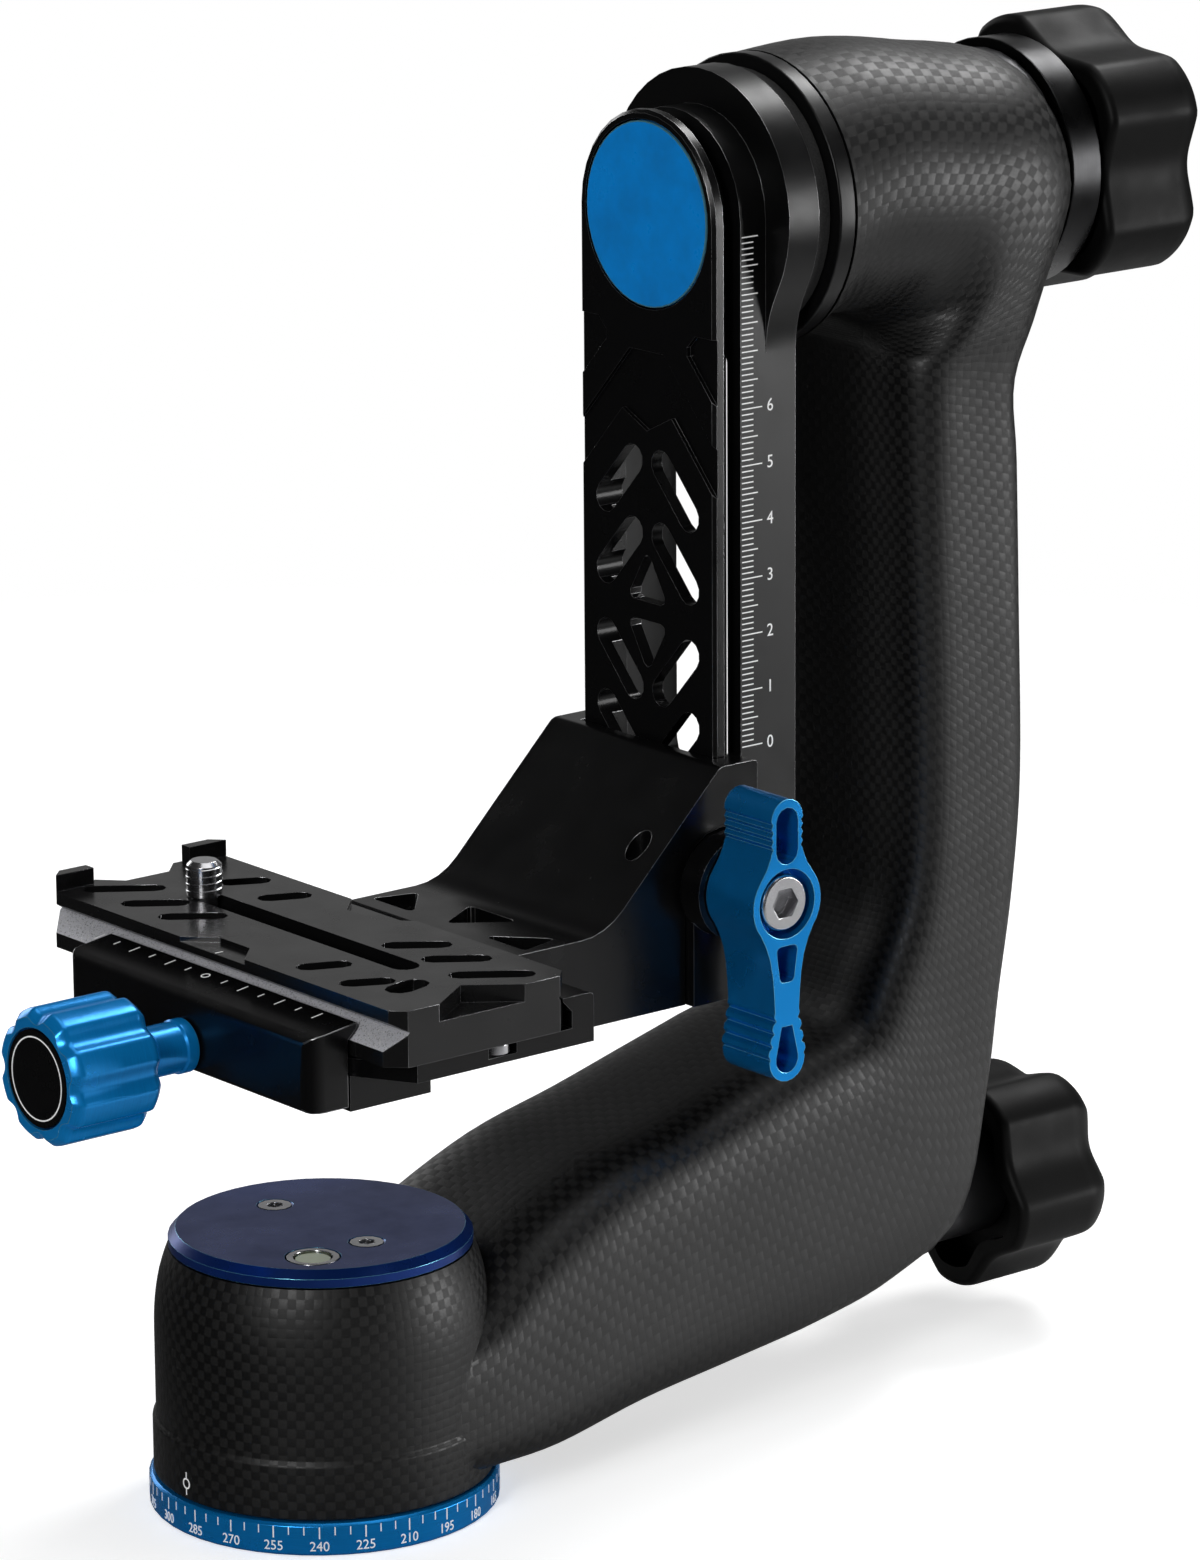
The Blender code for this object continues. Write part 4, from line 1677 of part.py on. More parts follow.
# The whole head: a pivot on each joint's axis, with the pieces that move together under it
def build():
    for obj in list(bpy.data.objects):
        bpy.data.objects.remove(obj)
    base = pivot_at("base_pivot", (0, 0, 0))
    arm = pivot_at("arm_pivot", (0, 0, LOCK_Z), base)
    pan_knob = pivot_at("pan_knob_pivot", (PAN_KNOB_X, 0, LOCK_Z), arm)
    shoe = pivot_at("brake_shoe_pivot", (DRUM_RADIUS, 0, LOCK_Z), arm)
    tilt_knob = pivot_at("tilt_knob_pivot", (TILT_KNOB_X, 0, TILT_HEIGHT), arm)
    swing = pivot_at("swing_pivot", (PLATE_BACK_X, 0, TILT_HEIGHT), arm)
    cradle = pivot_at("cradle_pivot", (CRADLE_BACK_X, 0, CRADLE_BOTTOM_Z), swing)
    jaw = pivot_at("rail_jaw_pivot", (LEVER_X, JAW_FACE_Y, LEVER_Z), cradle)
    lever = pivot_at("lever_pivot", (LEVER_X, LEVER_FACE_Y, LEVER_Z), jaw)
    slider = pivot_at("clamp_jaw_pivot", (-SLIDER_OUT, 0, KNOB_Z), cradle)
    grip = pivot_at("clamp_knob_pivot", (GRIP_X, 0, KNOB_Z), slider)
    plate = pivot_at("lens_plate_pivot", (0, 0, LENS_TOP_Z), cradle)
    washer = pivot_at("screw_slide_pivot", (0, CAMERA_SCREW_Y, LENS_TOP_Z), plate)
    screw = pivot_at("camera_screw_pivot", (0, CAMERA_SCREW_Y, LENS_TOP_Z), washer)
    groups = (
        (base, base_pieces()), (arm, arm_pieces()), (pan_knob, pan_knob_pieces()),
        (shoe, [(brake_shoe(), STEEL)]), (tilt_knob, tilt_knob_pieces()), (swing, swing_pieces()),
        (cradle, cradle_pieces()), (jaw, [(rail_jaw(), BLACK_METAL)]),
        (lever, [(height_lever(), BLUE_METAL), (lever_bolt(), STEEL)]), (slider, clamp_jaw_pieces()),
        (grip, clamp_knob_pieces()), (plate, lens_plate_pieces()), (washer, [(screw_washer(), STEEL)]),
        (screw, camera_screw_pieces()),
    )
    for pivot, pieces in groups:
        for obj, finish in pieces:
            finished(obj, finish, pivot)


build()
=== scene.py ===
"""Looks for a gimbal tripod head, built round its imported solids. Lengths are in metres."""

import json
import math

import bmesh
import bpy
from mathutils import Matrix, Vector

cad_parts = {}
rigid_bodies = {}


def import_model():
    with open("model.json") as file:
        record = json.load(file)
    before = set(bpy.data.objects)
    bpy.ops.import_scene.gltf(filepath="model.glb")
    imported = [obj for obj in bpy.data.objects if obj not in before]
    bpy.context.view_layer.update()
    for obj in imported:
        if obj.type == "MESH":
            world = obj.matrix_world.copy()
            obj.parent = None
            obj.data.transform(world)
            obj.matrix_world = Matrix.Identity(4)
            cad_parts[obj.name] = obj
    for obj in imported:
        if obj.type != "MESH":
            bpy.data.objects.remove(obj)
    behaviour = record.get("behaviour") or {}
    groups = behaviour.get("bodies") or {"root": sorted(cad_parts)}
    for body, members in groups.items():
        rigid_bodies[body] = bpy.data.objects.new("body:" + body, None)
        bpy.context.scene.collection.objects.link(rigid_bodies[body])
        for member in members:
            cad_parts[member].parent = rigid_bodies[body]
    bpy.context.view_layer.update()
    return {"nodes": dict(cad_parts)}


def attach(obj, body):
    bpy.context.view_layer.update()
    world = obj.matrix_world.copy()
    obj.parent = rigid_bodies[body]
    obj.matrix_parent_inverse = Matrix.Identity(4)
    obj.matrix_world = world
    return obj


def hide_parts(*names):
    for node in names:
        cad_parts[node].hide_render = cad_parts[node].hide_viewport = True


for old in list(bpy.data.objects):
    bpy.data.objects.remove(old)
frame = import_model()

MM = 0.001
TURN = 2 * math.pi
ORIGIN = (0, 0, 0)
AXES = {"X": Matrix.Rotation(math.pi / 2, 4, "Y"), "Z": Matrix.Identity(4)}
OVERRUN = 1 * MM
WELD = 0.001 * MM

# Steps round a turned piece, a drilled hole, the arm and its boss
ROUND_STEPS = 96
ROD_STEPS = 64
ARM_STEPS = 96
BOSS_STEPS = 128

# Sizes shared with the solids
BASE_RADIUS = 30.4 * MM
BASE_RIM_Z = 5.3 * MM
TILT_HEIGHT = 216.5 * MM
ARM_REACH = 131.5 * MM
ARM_HALF_WIDTH = 22.5 * MM
ARM_BORE = 21.3 * MM
COLUMN_DISH = 2.4 * MM
HOUSING_FACE_X = 99.6 * MM
HOUSING_FACE_RADIUS = 25.7 * MM
HOUSING_BACK_X = 152.5 * MM
TILT_SEAT_RADIUS = 22.9 * MM
TILT_SEAT_LENGTH = 23 * MM
BOSS_BOTTOM = 6.1 * MM
BOSS_TOP = 46.3 * MM
BOSS_SHOULDER = 16.0 * MM
BOSS_RADIUS = 29.0 * MM
BOSS_TOP_RADIUS = 26.4 * MM
COLLAR_PROUD = 0.6 * MM
COLLAR_HEIGHT = 10.2 * MM
CAP_SEAT_RADIUS = 26.6 * MM
CAP_SEAT_HEIGHT = 29 * MM
LOCK_Z = 26.75 * MM
PAN_PAD_RADIUS = 12 * MM
PAN_PAD_ROOT_X = 112 * MM
PAN_PAD_X = 134 * MM
PAN_SEAT_RADIUS = 10.8 * MM
PAN_SEAT_END_X = 150 * MM
SHOE_BORE = 5.0 * MM
SHOE_BORE_END_X = 27.8 * MM
ROD_BORE = 3.3 * MM
KNOB_LOBES = 5
KNOB_WALL = 3.8 * MM
KNOB_RIM_EDGE = 1.6 * MM
KNOB_BORE_DEPTH = 12.3 * MM
CLAMP_KNOB_Z = 87.0 * MM
GRIP_RADIUS = 11.8 * MM
GRIP_FLUTES = 8
GRIP_FLUTE_DEPTH = 1.1 * MM
GRIP_FACE_X = -58.0 * MM
GRIP_X = -40.0 * MM
INSERT_SEAT_RADIUS = 8.7 * MM
INSERT_SEAT_X = -56.3 * MM
CLAMP_SCREW_BORE = 2.7 * MM
PLATE_SIDE_Y = -18.0 * MM
LENS_TOP_Z = 101.1 * MM
PLATE_MARK_Z = 100.2 * MM
CAMERA_SCREW_Y = 32.0 * MM
JAW_SLOPE_X = -27.5 * MM
JAW_SLOPE_Z = 95.6 * MM
JAW_SLOPE = 1.4 / 9.7

# The weave's tows, and how much of it wraps round the arm and its boss
WEAVE_TOW = 1.6 * MM
ARM_GIRTH = 131.25 * MM
BOSS_GIRTH = 182.5 * MM


# Node helpers
class Nodes:
    """A node tree with short calls for its nodes."""

    def __init__(self, tree):
        self.tree = tree

    def put(self, socket, value):
        if isinstance(value, bpy.types.NodeSocket):
            self.tree.links.new(value, socket)
        else:
            socket.default_value = value

    def node(self, kind, inputs=None, **settings):
        made = self.tree.nodes.new(kind)
        for key, value in settings.items():
            setattr(made, key, value)
        for key, value in (inputs or {}).items():
            self.put(made.inputs[key], value)
        return made

    def math(self, operation, a, b=0.0):
        return self.node("ShaderNodeMath", {0: a, 1: b}, operation=operation).outputs[0]

    def vector_math(self, operation, a, b):
        made = self.node("ShaderNodeVectorMath", {0: a, 1: b}, operation=operation)
        return made.outputs["Value"]

    def ramp(self, value, low, high, start=0.0, end=1.0, **settings):
        """Carries the range from low to high over to the range from start to end."""
        inputs = {0: value, 1: low, 2: high, 3: start, 4: end}
        return self.node("ShaderNodeMapRange", inputs, **settings).outputs[0]


class Shader(Nodes):
    """A new material. The sizes of its patterns are in metres."""

    def __init__(self, name):
        self.made = bpy.data.materials.new(name)
        self.made.use_nodes = True
        super().__init__(self.made.node_tree)
        self.bsdf = self.tree.nodes["Principled BSDF"]

    def mix(self, factor, a, b, **settings):
        """A mix of two colours, which are the Mix node's sockets 6 and 7."""
        inputs = {0: factor, 6: a, 7: b}
        return self.node("ShaderNodeMix", inputs, data_type="RGBA", **settings).outputs[2]

    def blend(self, factor, a, b):
        """A mix of two numbers."""
        return self.node("ShaderNodeMix", {0: factor, 2: a, 3: b}, data_type="FLOAT").outputs[0]

    def place(self, stretch=(1, 1, 1)):
        where = self.node("ShaderNodeTexCoord").outputs["Object"]
        return self.node("ShaderNodeMapping", {"Vector": where, "Scale": stretch}).outputs[0]

    def noise(self, size, detail, rough, where=None):
        inputs = {
            "Vector": where or self.place(), "Scale": 1 / size, "Detail": detail,
            "Roughness": rough,
        }
        return self.node("ShaderNodeTexNoise", inputs).outputs[0]

    def bump(self, height, distance, strength=1.0, below=None):
        inputs = {"Height": height, "Distance": distance, "Strength": strength}
        if below:
            inputs["Normal"] = below
        return self.node("ShaderNodeBump", inputs).outputs[0]

    def done(self, **values):
        """Fills the shader's own sockets, and returns the material."""
        for key, value in values.items():
            self.put(self.bsdf.inputs[key.replace("_", " ")], value)
        return self.made


def colour(base, share=1.0):
    return (*(share * x for x in base), 1.0)


def grey(level):
    return (level, level, level, 1.0)


# Materials
def satin_metal(
    name, base, roughness, metallic, grain=0.25 * MM, depth=0.006 * MM, spread=0.06, shine=0.5,
):
    """Bead blasted and anodised metal: fine pits, cloudy roughness and a slight shift of colour."""
    s = Shader(name)
    pits = s.noise(grain, detail=2.0, rough=0.5)
    cloud = s.noise(9 * MM, detail=4.0, rough=0.6)
    return s.done(
        Base_Color=s.mix(s.ramp(cloud, 0.35, 0.65), colour(base), colour(base, 0.82)),
        Roughness=s.ramp(cloud, 0.3, 0.7, roughness - spread, roughness + spread),
        Metallic=metallic, Specular_IOR_Level=shine, Normal=s.bump(pits, depth, 0.8),
    )


def turned_metal(name, base, roughness, metallic, axis):
    """Metal with the fine rings of a lathe round one axis."""
    s = Shader(name)
    stretch = [0.03, 0.03, 0.03]
    stretch["XYZ".index(axis)] = 1.0
    lines = s.noise(0.14 * MM, detail=2.0, rough=0.7, where=s.place(tuple(stretch)))
    cloud = s.noise(7 * MM, detail=3.0, rough=0.6)
    return s.done(
        Base_Color=s.mix(s.ramp(lines, 0.3, 0.7), colour(base), colour(base, 0.85)),
        Roughness=s.ramp(cloud, 0.3, 0.7, roughness - 0.05, roughness + 0.05),
        Metallic=metallic, Normal=s.bump(lines, 0.004 * MM),
    )


def weave(name):
    """Matt plain weave of flat tows. It runs along the UV map, which is in metres."""
    s = Shader(name)

    def crown(along):
        """1 over the middle of a tow, and 0 at its edges."""
        off = s.math("SUBTRACT", s.math("FRACT", along), 0.5)
        return s.math("SUBTRACT", 1.0, s.math("MULTIPLY", s.math("MULTIPLY", off, off), 4.0))

    def tow_height(under, over):
        return s.math("ADD", s.math("MULTIPLY", under, 0.35), s.math("MULTIPLY", over, 0.65))

    uv = s.node("ShaderNodeUVMap", uv_map="weave").outputs[0]
    split = s.node("ShaderNodeSeparateXYZ", {0: uv}).outputs
    drift = s.noise(14 * MM, detail=1.0, rough=0.5)
    slip = s.ramp(drift, 0.0, 1.0, -0.25, 0.25)
    u, v = (s.math("ADD", s.math("DIVIDE", split[i], WEAVE_TOW), slip) for i in (0, 1))
    warp_on_top = s.math("PINGPONG", s.math("ADD", s.math("FLOOR", u), s.math("FLOOR", v)), 1.0)
    crown_u, crown_v = crown(u), crown(v)
    height = s.blend(warp_on_top, tow_height(crown_u, crown_v), tow_height(crown_v, crown_u))
    fibre_u, fibre_v = (s.math("SINE", s.math("MULTIPLY", along, 60.0)) for along in (u, v))
    fibre = s.blend(warp_on_top, fibre_u, fibre_v)
    tows = s.mix(warp_on_top, colour((0.002, 0.002, 0.0021)), colour((0.008, 0.0078, 0.0076)))
    gap = s.ramp(height, 0.0, 0.45, 0.45, 1.0)
    shadow = s.node("ShaderNodeCombineColor", {0: gap, 1: gap, 2: gap}).outputs[0]
    cloud = s.noise(11 * MM, detail=3.0, rough=0.6)
    haze = s.ramp(cloud, 0.3, 0.7, -0.03, 0.05)
    return s.done(
        Base_Color=s.mix(1.0, tows, shadow, blend_type="MULTIPLY"),
        Roughness=s.math("ADD", s.blend(warp_on_top, 0.43, 0.58), haze),
        Normal=s.bump(fibre, 0.004 * MM, 0.5, below=s.bump(height, 0.06 * MM, 0.55)),
        Specular_IOR_Level=0.5, Coat_Weight=0.12, Coat_Roughness=0.42,
    )


def moulded(name, level, roughness):
    """Moulded plastic with a fine spark-eroded texture."""
    s = Shader(name)
    pits = s.noise(0.35 * MM, detail=2.0, rough=0.6)
    cloud = s.noise(10 * MM, detail=3.0, rough=0.6)
    return s.done(
        Base_Color=s.mix(s.ramp(pits, 0.4, 0.7), grey(level), grey(1.5 * level)),
        Roughness=s.ramp(cloud, 0.3, 0.7, roughness - 0.05, roughness + 0.06),
        Specular_IOR_Level=0.15, Normal=s.bump(pits, 0.02 * MM, 0.7),
    )


def speckled(name):
    """Bare blasted alloy, grey with dark and bright specks."""
    s = Shader(name)
    inputs = {"Vector": s.place(), "Scale": 1 / (0.42 * MM)}
    cells = s.node("ShaderNodeTexVoronoi", inputs, feature="F1").outputs["Distance"]
    grit = s.noise(0.3 * MM, detail=2.0, rough=0.8)
    specks = s.mix(s.ramp(grit, 0.42, 0.58), colour((0.16, 0.16, 0.19)), grey(1.0))
    return s.done(
        Base_Color=s.mix(s.ramp(cells, 0.1, 0.6), specks, colour((0.75, 0.75, 0.8))),
        Roughness=s.ramp(grit, 0.3, 0.7, 0.3, 0.55), Metallic=0.15,
        Normal=s.bump(grit, 0.05 * MM, 0.8),
    )


def paint(name, level, roughness, glow):
    """Matt print with a slightly uneven coat. It also glows a little, a painted brightness that no
    lamp gives it.
    """
    s = Shader(name)
    cloud = s.noise(1.2 * MM, detail=2.0, rough=0.6)
    return s.done(
        Base_Color=s.mix(s.ramp(cloud, 0.4, 0.7), grey(level), grey(0.9 * level)),
        Roughness=s.ramp(cloud, 0.3, 0.7, roughness - 0.05, roughness + 0.05),
        Emission_Color=grey(level), Emission_Strength=glow,
    )


def liquid(name):
    """Pale green liquid under clear glass."""
    s = Shader(name)
    cloud = s.noise(2 * MM, detail=1.0, rough=0.5)
    shade = s.mix(s.ramp(cloud, 0.3, 0.7), colour((0.75, 0.85, 0.55)), colour((0.7, 0.82, 0.5)))
    return s.done(Base_Color=shade, Roughness=0.04, Coat_Weight=1.0, Coat_Roughness=0.02)


BLACK = satin_metal(
    "black_anodised", (0.003, 0.003, 0.0033), roughness=0.25, metallic=0, spread=0.04, shine=0.32,
)
# A lighter, shinier copy of the black anodising for the lens plate: painted highlight, so its deck
# looks more lit.
PLATE_BLACK = satin_metal(
    "plate_black", (0.006, 0.006, 0.0063), roughness=0.25, metallic=0, spread=0.04, shine=0.55,
)
RAIL_BLACK = satin_metal(
    "rail_black", (0.003, 0.003, 0.0033), roughness=0.34, metallic=0, shine=0.35,
)
# Light grey metal for the bevelled edges of the black parts: painted highlights along their edges.
GREY_EDGE_HIGHLIGHT = satin_metal("grey_edge_highlight", (0.42, 0.42, 0.43), roughness=0.3, metallic=1)
PLATE_EDGE_HIGHLIGHT = satin_metal("plate_edge_highlight", (0.3, 0.3, 0.31), roughness=0.25, metallic=1)
BLUE = satin_metal(
    "blue_anodised", (0.005, 0.32, 0.88), roughness=0.24, metallic=0.75,
    grain=0.22 * MM, depth=0.004 * MM,
)
BLUE_DISC = satin_metal(
    "blue_disc", (0.0008, 0.33, 0.98), roughness=0.3, metallic=0,
    grain=0.22 * MM, depth=0.003 * MM, spread=0.04,
)
# A light copy of the blue for bevelled edges: a painted highlight along the blue parts' edges.
BLUE_EDGE_HIGHLIGHT = satin_metal("blue_edge_highlight", (0.25, 0.75, 1.0), roughness=0.25, metallic=0.7)
NAVY = satin_metal("navy_anodised", (0.006, 0.04, 0.24), roughness=0.3, metallic=0.6)
STEEL = satin_metal(
    "stainless", (0.62, 0.62, 0.64), roughness=0.24, metallic=1, grain=0.3 * MM, depth=0.003 * MM,
)
BLUE_TURNED = turned_metal("blue_turned", (0.004, 0.34, 0.92), 0.24, 0.45, "X")
BLUE_RING = turned_metal("blue_ring", (0.003, 0.32, 0.88), 0.26, 0.6, "Z")
STEEL_TURNED = turned_metal("stainless_turned", (0.62, 0.62, 0.64), 0.25, 1.0, "X")
ALLOY = turned_metal("bare_alloy", (0.5, 0.5, 0.52), 0.35, 1.0, "X")
# Near-black metal for the tilt knob's collar: painted shade for the contact shadow between the arm
# and the knob.
SHADED_COLLAR = turned_metal("collar_painted_shade", (0.03, 0.03, 0.031), 0.3, 1.0, "X")
DARK_ALLOY = turned_metal("dark_alloy", (0.08, 0.08, 0.085), 0.35, 0.8, "X")
CARBON = weave("carbon_weave")
PLASTIC = moulded("moulded_black", level=0.0016, roughness=0.5)
FRICTION = moulded("friction_lining", level=0.03, roughness=0.7)
SPECKLE = speckled("speckled_alloy")
# The white print glows a little: painted brightness that no lamp gives it.
WHITE = paint("white_print", level=0.82, roughness=0.5, glow=0.25)
LIQUID = liquid("vial_liquid")


# Mesh helpers
def smooth_group():
    """Smooth shading, except over edges that turn more than 32 degrees."""
    group = bpy.data.node_groups.new("smooth_by_angle", "GeometryNodeTree")
    for way in ("INPUT", "OUTPUT"):
        group.interface.new_socket("Geometry", in_out=way, socket_type="NodeSocketGeometry")
    n = Nodes(group)
    faces = n.node("GeometryNodeSetShadeSmooth", {0: n.node("NodeGroupInput").outputs[0]})
    angle = n.node("GeometryNodeInputMeshEdgeAngle").outputs["Unsigned Angle"]
    limits = {0: angle, 1: math.radians(32)}
    sharp = n.node("FunctionNodeCompare", limits, operation="GREATER_THAN").outputs[0]
    inputs = {0: faces.outputs[0], "Selection": sharp, "Shade Smooth": False}
    edges = n.node("GeometryNodeSetShadeSmooth", inputs, domain="EDGE")
    n.node("NodeGroupOutput", {0: edges.outputs[0]})
    return group


SMOOTH = smooth_group()


def softened(obj, bevel=0.0, segments=2, angle=34, highlight_slot=-1):
    """Welds and tidies the mesh by modifiers, rounds its edges and smooths its shading."""
    weld = obj.modifiers.new("weld", "WELD")
    weld.merge_threshold = WELD
    if bevel:
        flat = obj.modifiers.new("flat", "DECIMATE")
        flat.decimate_type = "DISSOLVE"
        flat.angle_limit = math.radians(0.4)
        flat.delimit = {"MATERIAL"}
        edges = obj.modifiers.new("edges", "BEVEL")
        edges.width = bevel
        edges.segments = segments
        edges.limit_method = "ANGLE"
        edges.angle_limit = math.radians(angle)
        edges.use_clamp_overlap = True
        edges.material = highlight_slot
        edges.harden_normals = False
    smooth = obj.modifiers.new("smooth", "NODES")
    smooth.node_group = SMOOTH
    weighted = obj.modifiers.new("weighted", "WEIGHTED_NORMAL")
    weighted.keep_sharp = True


def coated(obj, *materials):
    """Gives an object these materials alone, the first of them all over."""
    obj.data.materials.clear()
    for material in materials:
        obj.data.materials.append(material)


def dressed(names, material, bevel, segments=2, edge=None, angle=34):
    """Gives CAD nodes a finish and soft edges. The bevelled edges can take a lighter material of
    their own, a painted highlight.
    """
    for name in names.split():
        obj = frame["nodes"][name]
        if edge:
            coated(obj, material, edge)
        else:
            coated(obj, material)
        softened(obj, bevel, segments, angle, 1 if edge else -1)


def linked(name, bm, material=None, body=None):
    """Makes an object of a bmesh."""
    bmesh.ops.recalc_face_normals(bm, faces=bm.faces)
    mesh = bpy.data.meshes.new(name)
    bm.to_mesh(mesh)
    bm.free()
    obj = bpy.data.objects.new(name, mesh)
    bpy.context.scene.collection.objects.link(obj)
    if material:
        mesh.materials.append(material)
    if body:
        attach(obj, body)
    return obj


def turned(name, profile, axis, centre, steps=ROUND_STEPS, material=None, body=None):
    """A solid of revolution. The profile gives radii and places along the axis."""
    bm = bmesh.new()
    points = [bm.verts.new((radius, 0, along)) for radius, along in profile]
    edges = [bm.edges.new((a, b)) for a, b in zip(points, points[1:])]
    has_hole = profile[0][0] > 0
    if has_hole:
        edges.append(bm.edges.new((points[-1], points[0])))
    bmesh.ops.spin(
        bm, geom=points + edges, cent=ORIGIN, axis=(0, 0, 1), dvec=(0, 0, 0), angle=TURN,
        steps=steps, use_merge=True,
    )
    bmesh.ops.remove_doubles(bm, verts=bm.verts, dist=WELD)
    bmesh.ops.transform(bm, matrix=Matrix.Translation(centre) @ AXES[axis], verts=bm.verts)
    return linked(name, bm, material, body)


def rod(radius, low, high, axis, centre, steps=ROD_STEPS):
    profile = [(0, low), (radius, low), (radius, high), (0, high)]
    return turned("tool", profile, axis, centre, steps)


def round_shares(points):
    """How far round a closed line each of its points is, from 0 to 1."""
    total, reached = 0.0, [0.0]
    for i, point in enumerate(points):
        total += (Vector(points[(i + 1) % len(points)]) - Vector(point)).length
        reached.append(total)
    return [x / total for x in reached]


def lofted(name, rings, lengths=None):
    """A closed solid through rings. With lengths, each ring's place along the arm's UV map."""
    bm = bmesh.new()
    uv = bm.loops.layers.uv.new("weave")
    loops = [[bm.verts.new(point) for point in points] for points in rings]
    bm.faces.new(loops[0])
    bm.faces.new(list(reversed(loops[-1])))
    shares = [round_shares(points) for points in rings] if lengths else []
    for k, (lower, upper) in enumerate(zip(loops, loops[1:])):
        for i in range(len(lower)):
            j = (i + 1) % len(lower)
            face = bm.faces.new((lower[i], lower[j], upper[j], upper[i]))
            if lengths:
                places = ((k, i), (k, i + 1), (k + 1, i + 1), (k + 1, i))
                for loop, (a, b) in zip(face.loops, places):
                    loop[uv].uv = (shares[a][b] * ARM_GIRTH, lengths[a])
    return linked(name, bm)


def combined(obj, operation, tools):
    """Joins tools with a solid or cuts them from it, and deletes the tools."""
    for tool in tools:
        modifier = obj.modifiers.new(operation, "BOOLEAN")
        modifier.operation = operation
        modifier.solver = "EXACT"
        modifier.object = tool
    graph = bpy.context.evaluated_depsgraph_get()
    mesh = bpy.data.meshes.new_from_object(obj.evaluated_get(graph))
    obj.modifiers.clear()
    obj.data = mesh
    for tool in tools:
        bpy.data.objects.remove(tool)


# The carbon arm. Each row is a section: x and z of its inner edge and of its outer edge, as
# shares of the reach and of the tilt axis's height; half its width at both edges, as shares of
# the arm's; its squareness at both edges; and its share of the dish in the column's face.
ARM_SHARES = (
    (0.0304, 0.1503, 0.0304, 0.0300, 1.200, 1.280, 4.00, 5.60, 0.00),
    (0.1369, 0.1705, 0.1369, 0.0300, 1.150, 1.271, 4.00, 5.88, 0.00),
    (0.2217, 0.2104, 0.2513, 0.0303, 1.090, 1.244, 4.20, 5.88, 0.00),
    (0.3599, 0.2473, 0.4083, 0.0436, 1.070, 1.164, 4.60, 5.88, 0.00),
    (0.5047, 0.2687, 0.5745, 0.0526, 1.050, 1.093, 5.00, 5.88, 0.00),
    (0.6279, 0.2895, 0.7348, 0.0637, 1.030, 1.058, 5.20, 5.88, 0.00),
    (0.7204, 0.3054, 0.8755, 0.0826, 1.020, 1.031, 5.20, 5.88, 0.17),
    (0.8040, 0.3201, 1.0011, 0.1252, 1.010, 1.013, 5.20, 6.02, 0.50),
    (0.8487, 0.3664, 1.0446, 0.2270, 0.987, 1.000, 5.20, 6.30, 0.83),
    (0.8861, 0.4194, 1.0634, 0.3129, 0.987, 1.000, 5.20, 6.40, 1.00),
    (0.9002, 0.4912, 1.0873, 0.4017, 0.987, 1.000, 5.20, 6.40, 1.00),
    (0.8992, 0.5835, 1.1016, 0.5011, 0.987, 1.000, 5.20, 6.40, 1.00),
    (0.8932, 0.6986, 1.0962, 0.6498, 0.987, 1.000, 5.13, 6.40, 1.00),
    (0.8874, 0.7986, 1.0921, 0.7687, 0.987, 1.004, 4.73, 5.88, 1.00),
    (0.8842, 0.8619, 1.0847, 0.8394, 1.004, 1.031, 4.19, 5.60, 0.83),
    (0.8943, 0.8749, 1.1389, 0.9051, 1.058, 1.093, 3.20, 3.60, 0.50),
    (0.9071, 0.8888, 1.2128, 1.0179, 1.120, 1.138, 2.70, 2.80, 0.17),
    (0.8810, 0.8990, 1.1552, 1.0909, 1.156, 1.156, 2.20, 2.20, 0.00),
    (0.8307, 0.8999, 1.0031, 1.1122, 1.164, 1.164, 2.06, 2.06, 0.00),
    (0.7901, 0.8979, 0.8747, 1.1223, 1.160, 1.160, 2.00, 2.00, 0.00),
)
ARM_FILL = 5


def arm_stations():
    """The sections in metres, and the housing's round face as the last."""
    for ix, iz, ox, oz, inside, outside, square_in, square_out, dish in ARM_SHARES:
        inner = Vector((ix * ARM_REACH, iz * TILT_HEIGHT))
        outer = Vector((ox * ARM_REACH, oz * TILT_HEIGHT))
        widths = (inside * ARM_HALF_WIDTH, outside * ARM_HALF_WIDTH)
        yield inner, outer, *widths, square_in, square_out, dish * COLUMN_DISH
    low = Vector((HOUSING_FACE_X, TILT_HEIGHT - HOUSING_FACE_RADIUS))
    high = Vector((HOUSING_FACE_X, TILT_HEIGHT + HOUSING_FACE_RADIUS))
    yield low, high, HOUSING_FACE_RADIUS, HOUSING_FACE_RADIUS, 2.0, 2.0, 0


def blended(weights, values):
    """A weighted sum of numbers or of vectors."""
    return sum((w * v for w, v in zip(weights[1:], values[1:])), weights[0] * values[0])


def filled(stations, fill):
    """Puts more sections between the given ones, on a Catmull-Rom curve through them."""
    found = []
    last = len(stations) - 1
    for i in range(last):
        near = (stations[max(i - 1, 0)], stations[i], stations[i + 1], stations[min(i + 2, last)])
        for step in range(fill):
            t = step / fill
            weights = (
                0.5 * (-t + 2 * t**2 - t**3), 0.5 * (2 - 5 * t**2 + 3 * t**3),
                0.5 * (t + 4 * t**2 - 3 * t**3), 0.5 * (t**3 - t**2),
            )
            found.append([blended(weights, values) for values in zip(*near)])
    found.append(list(stations[last]))
    return found


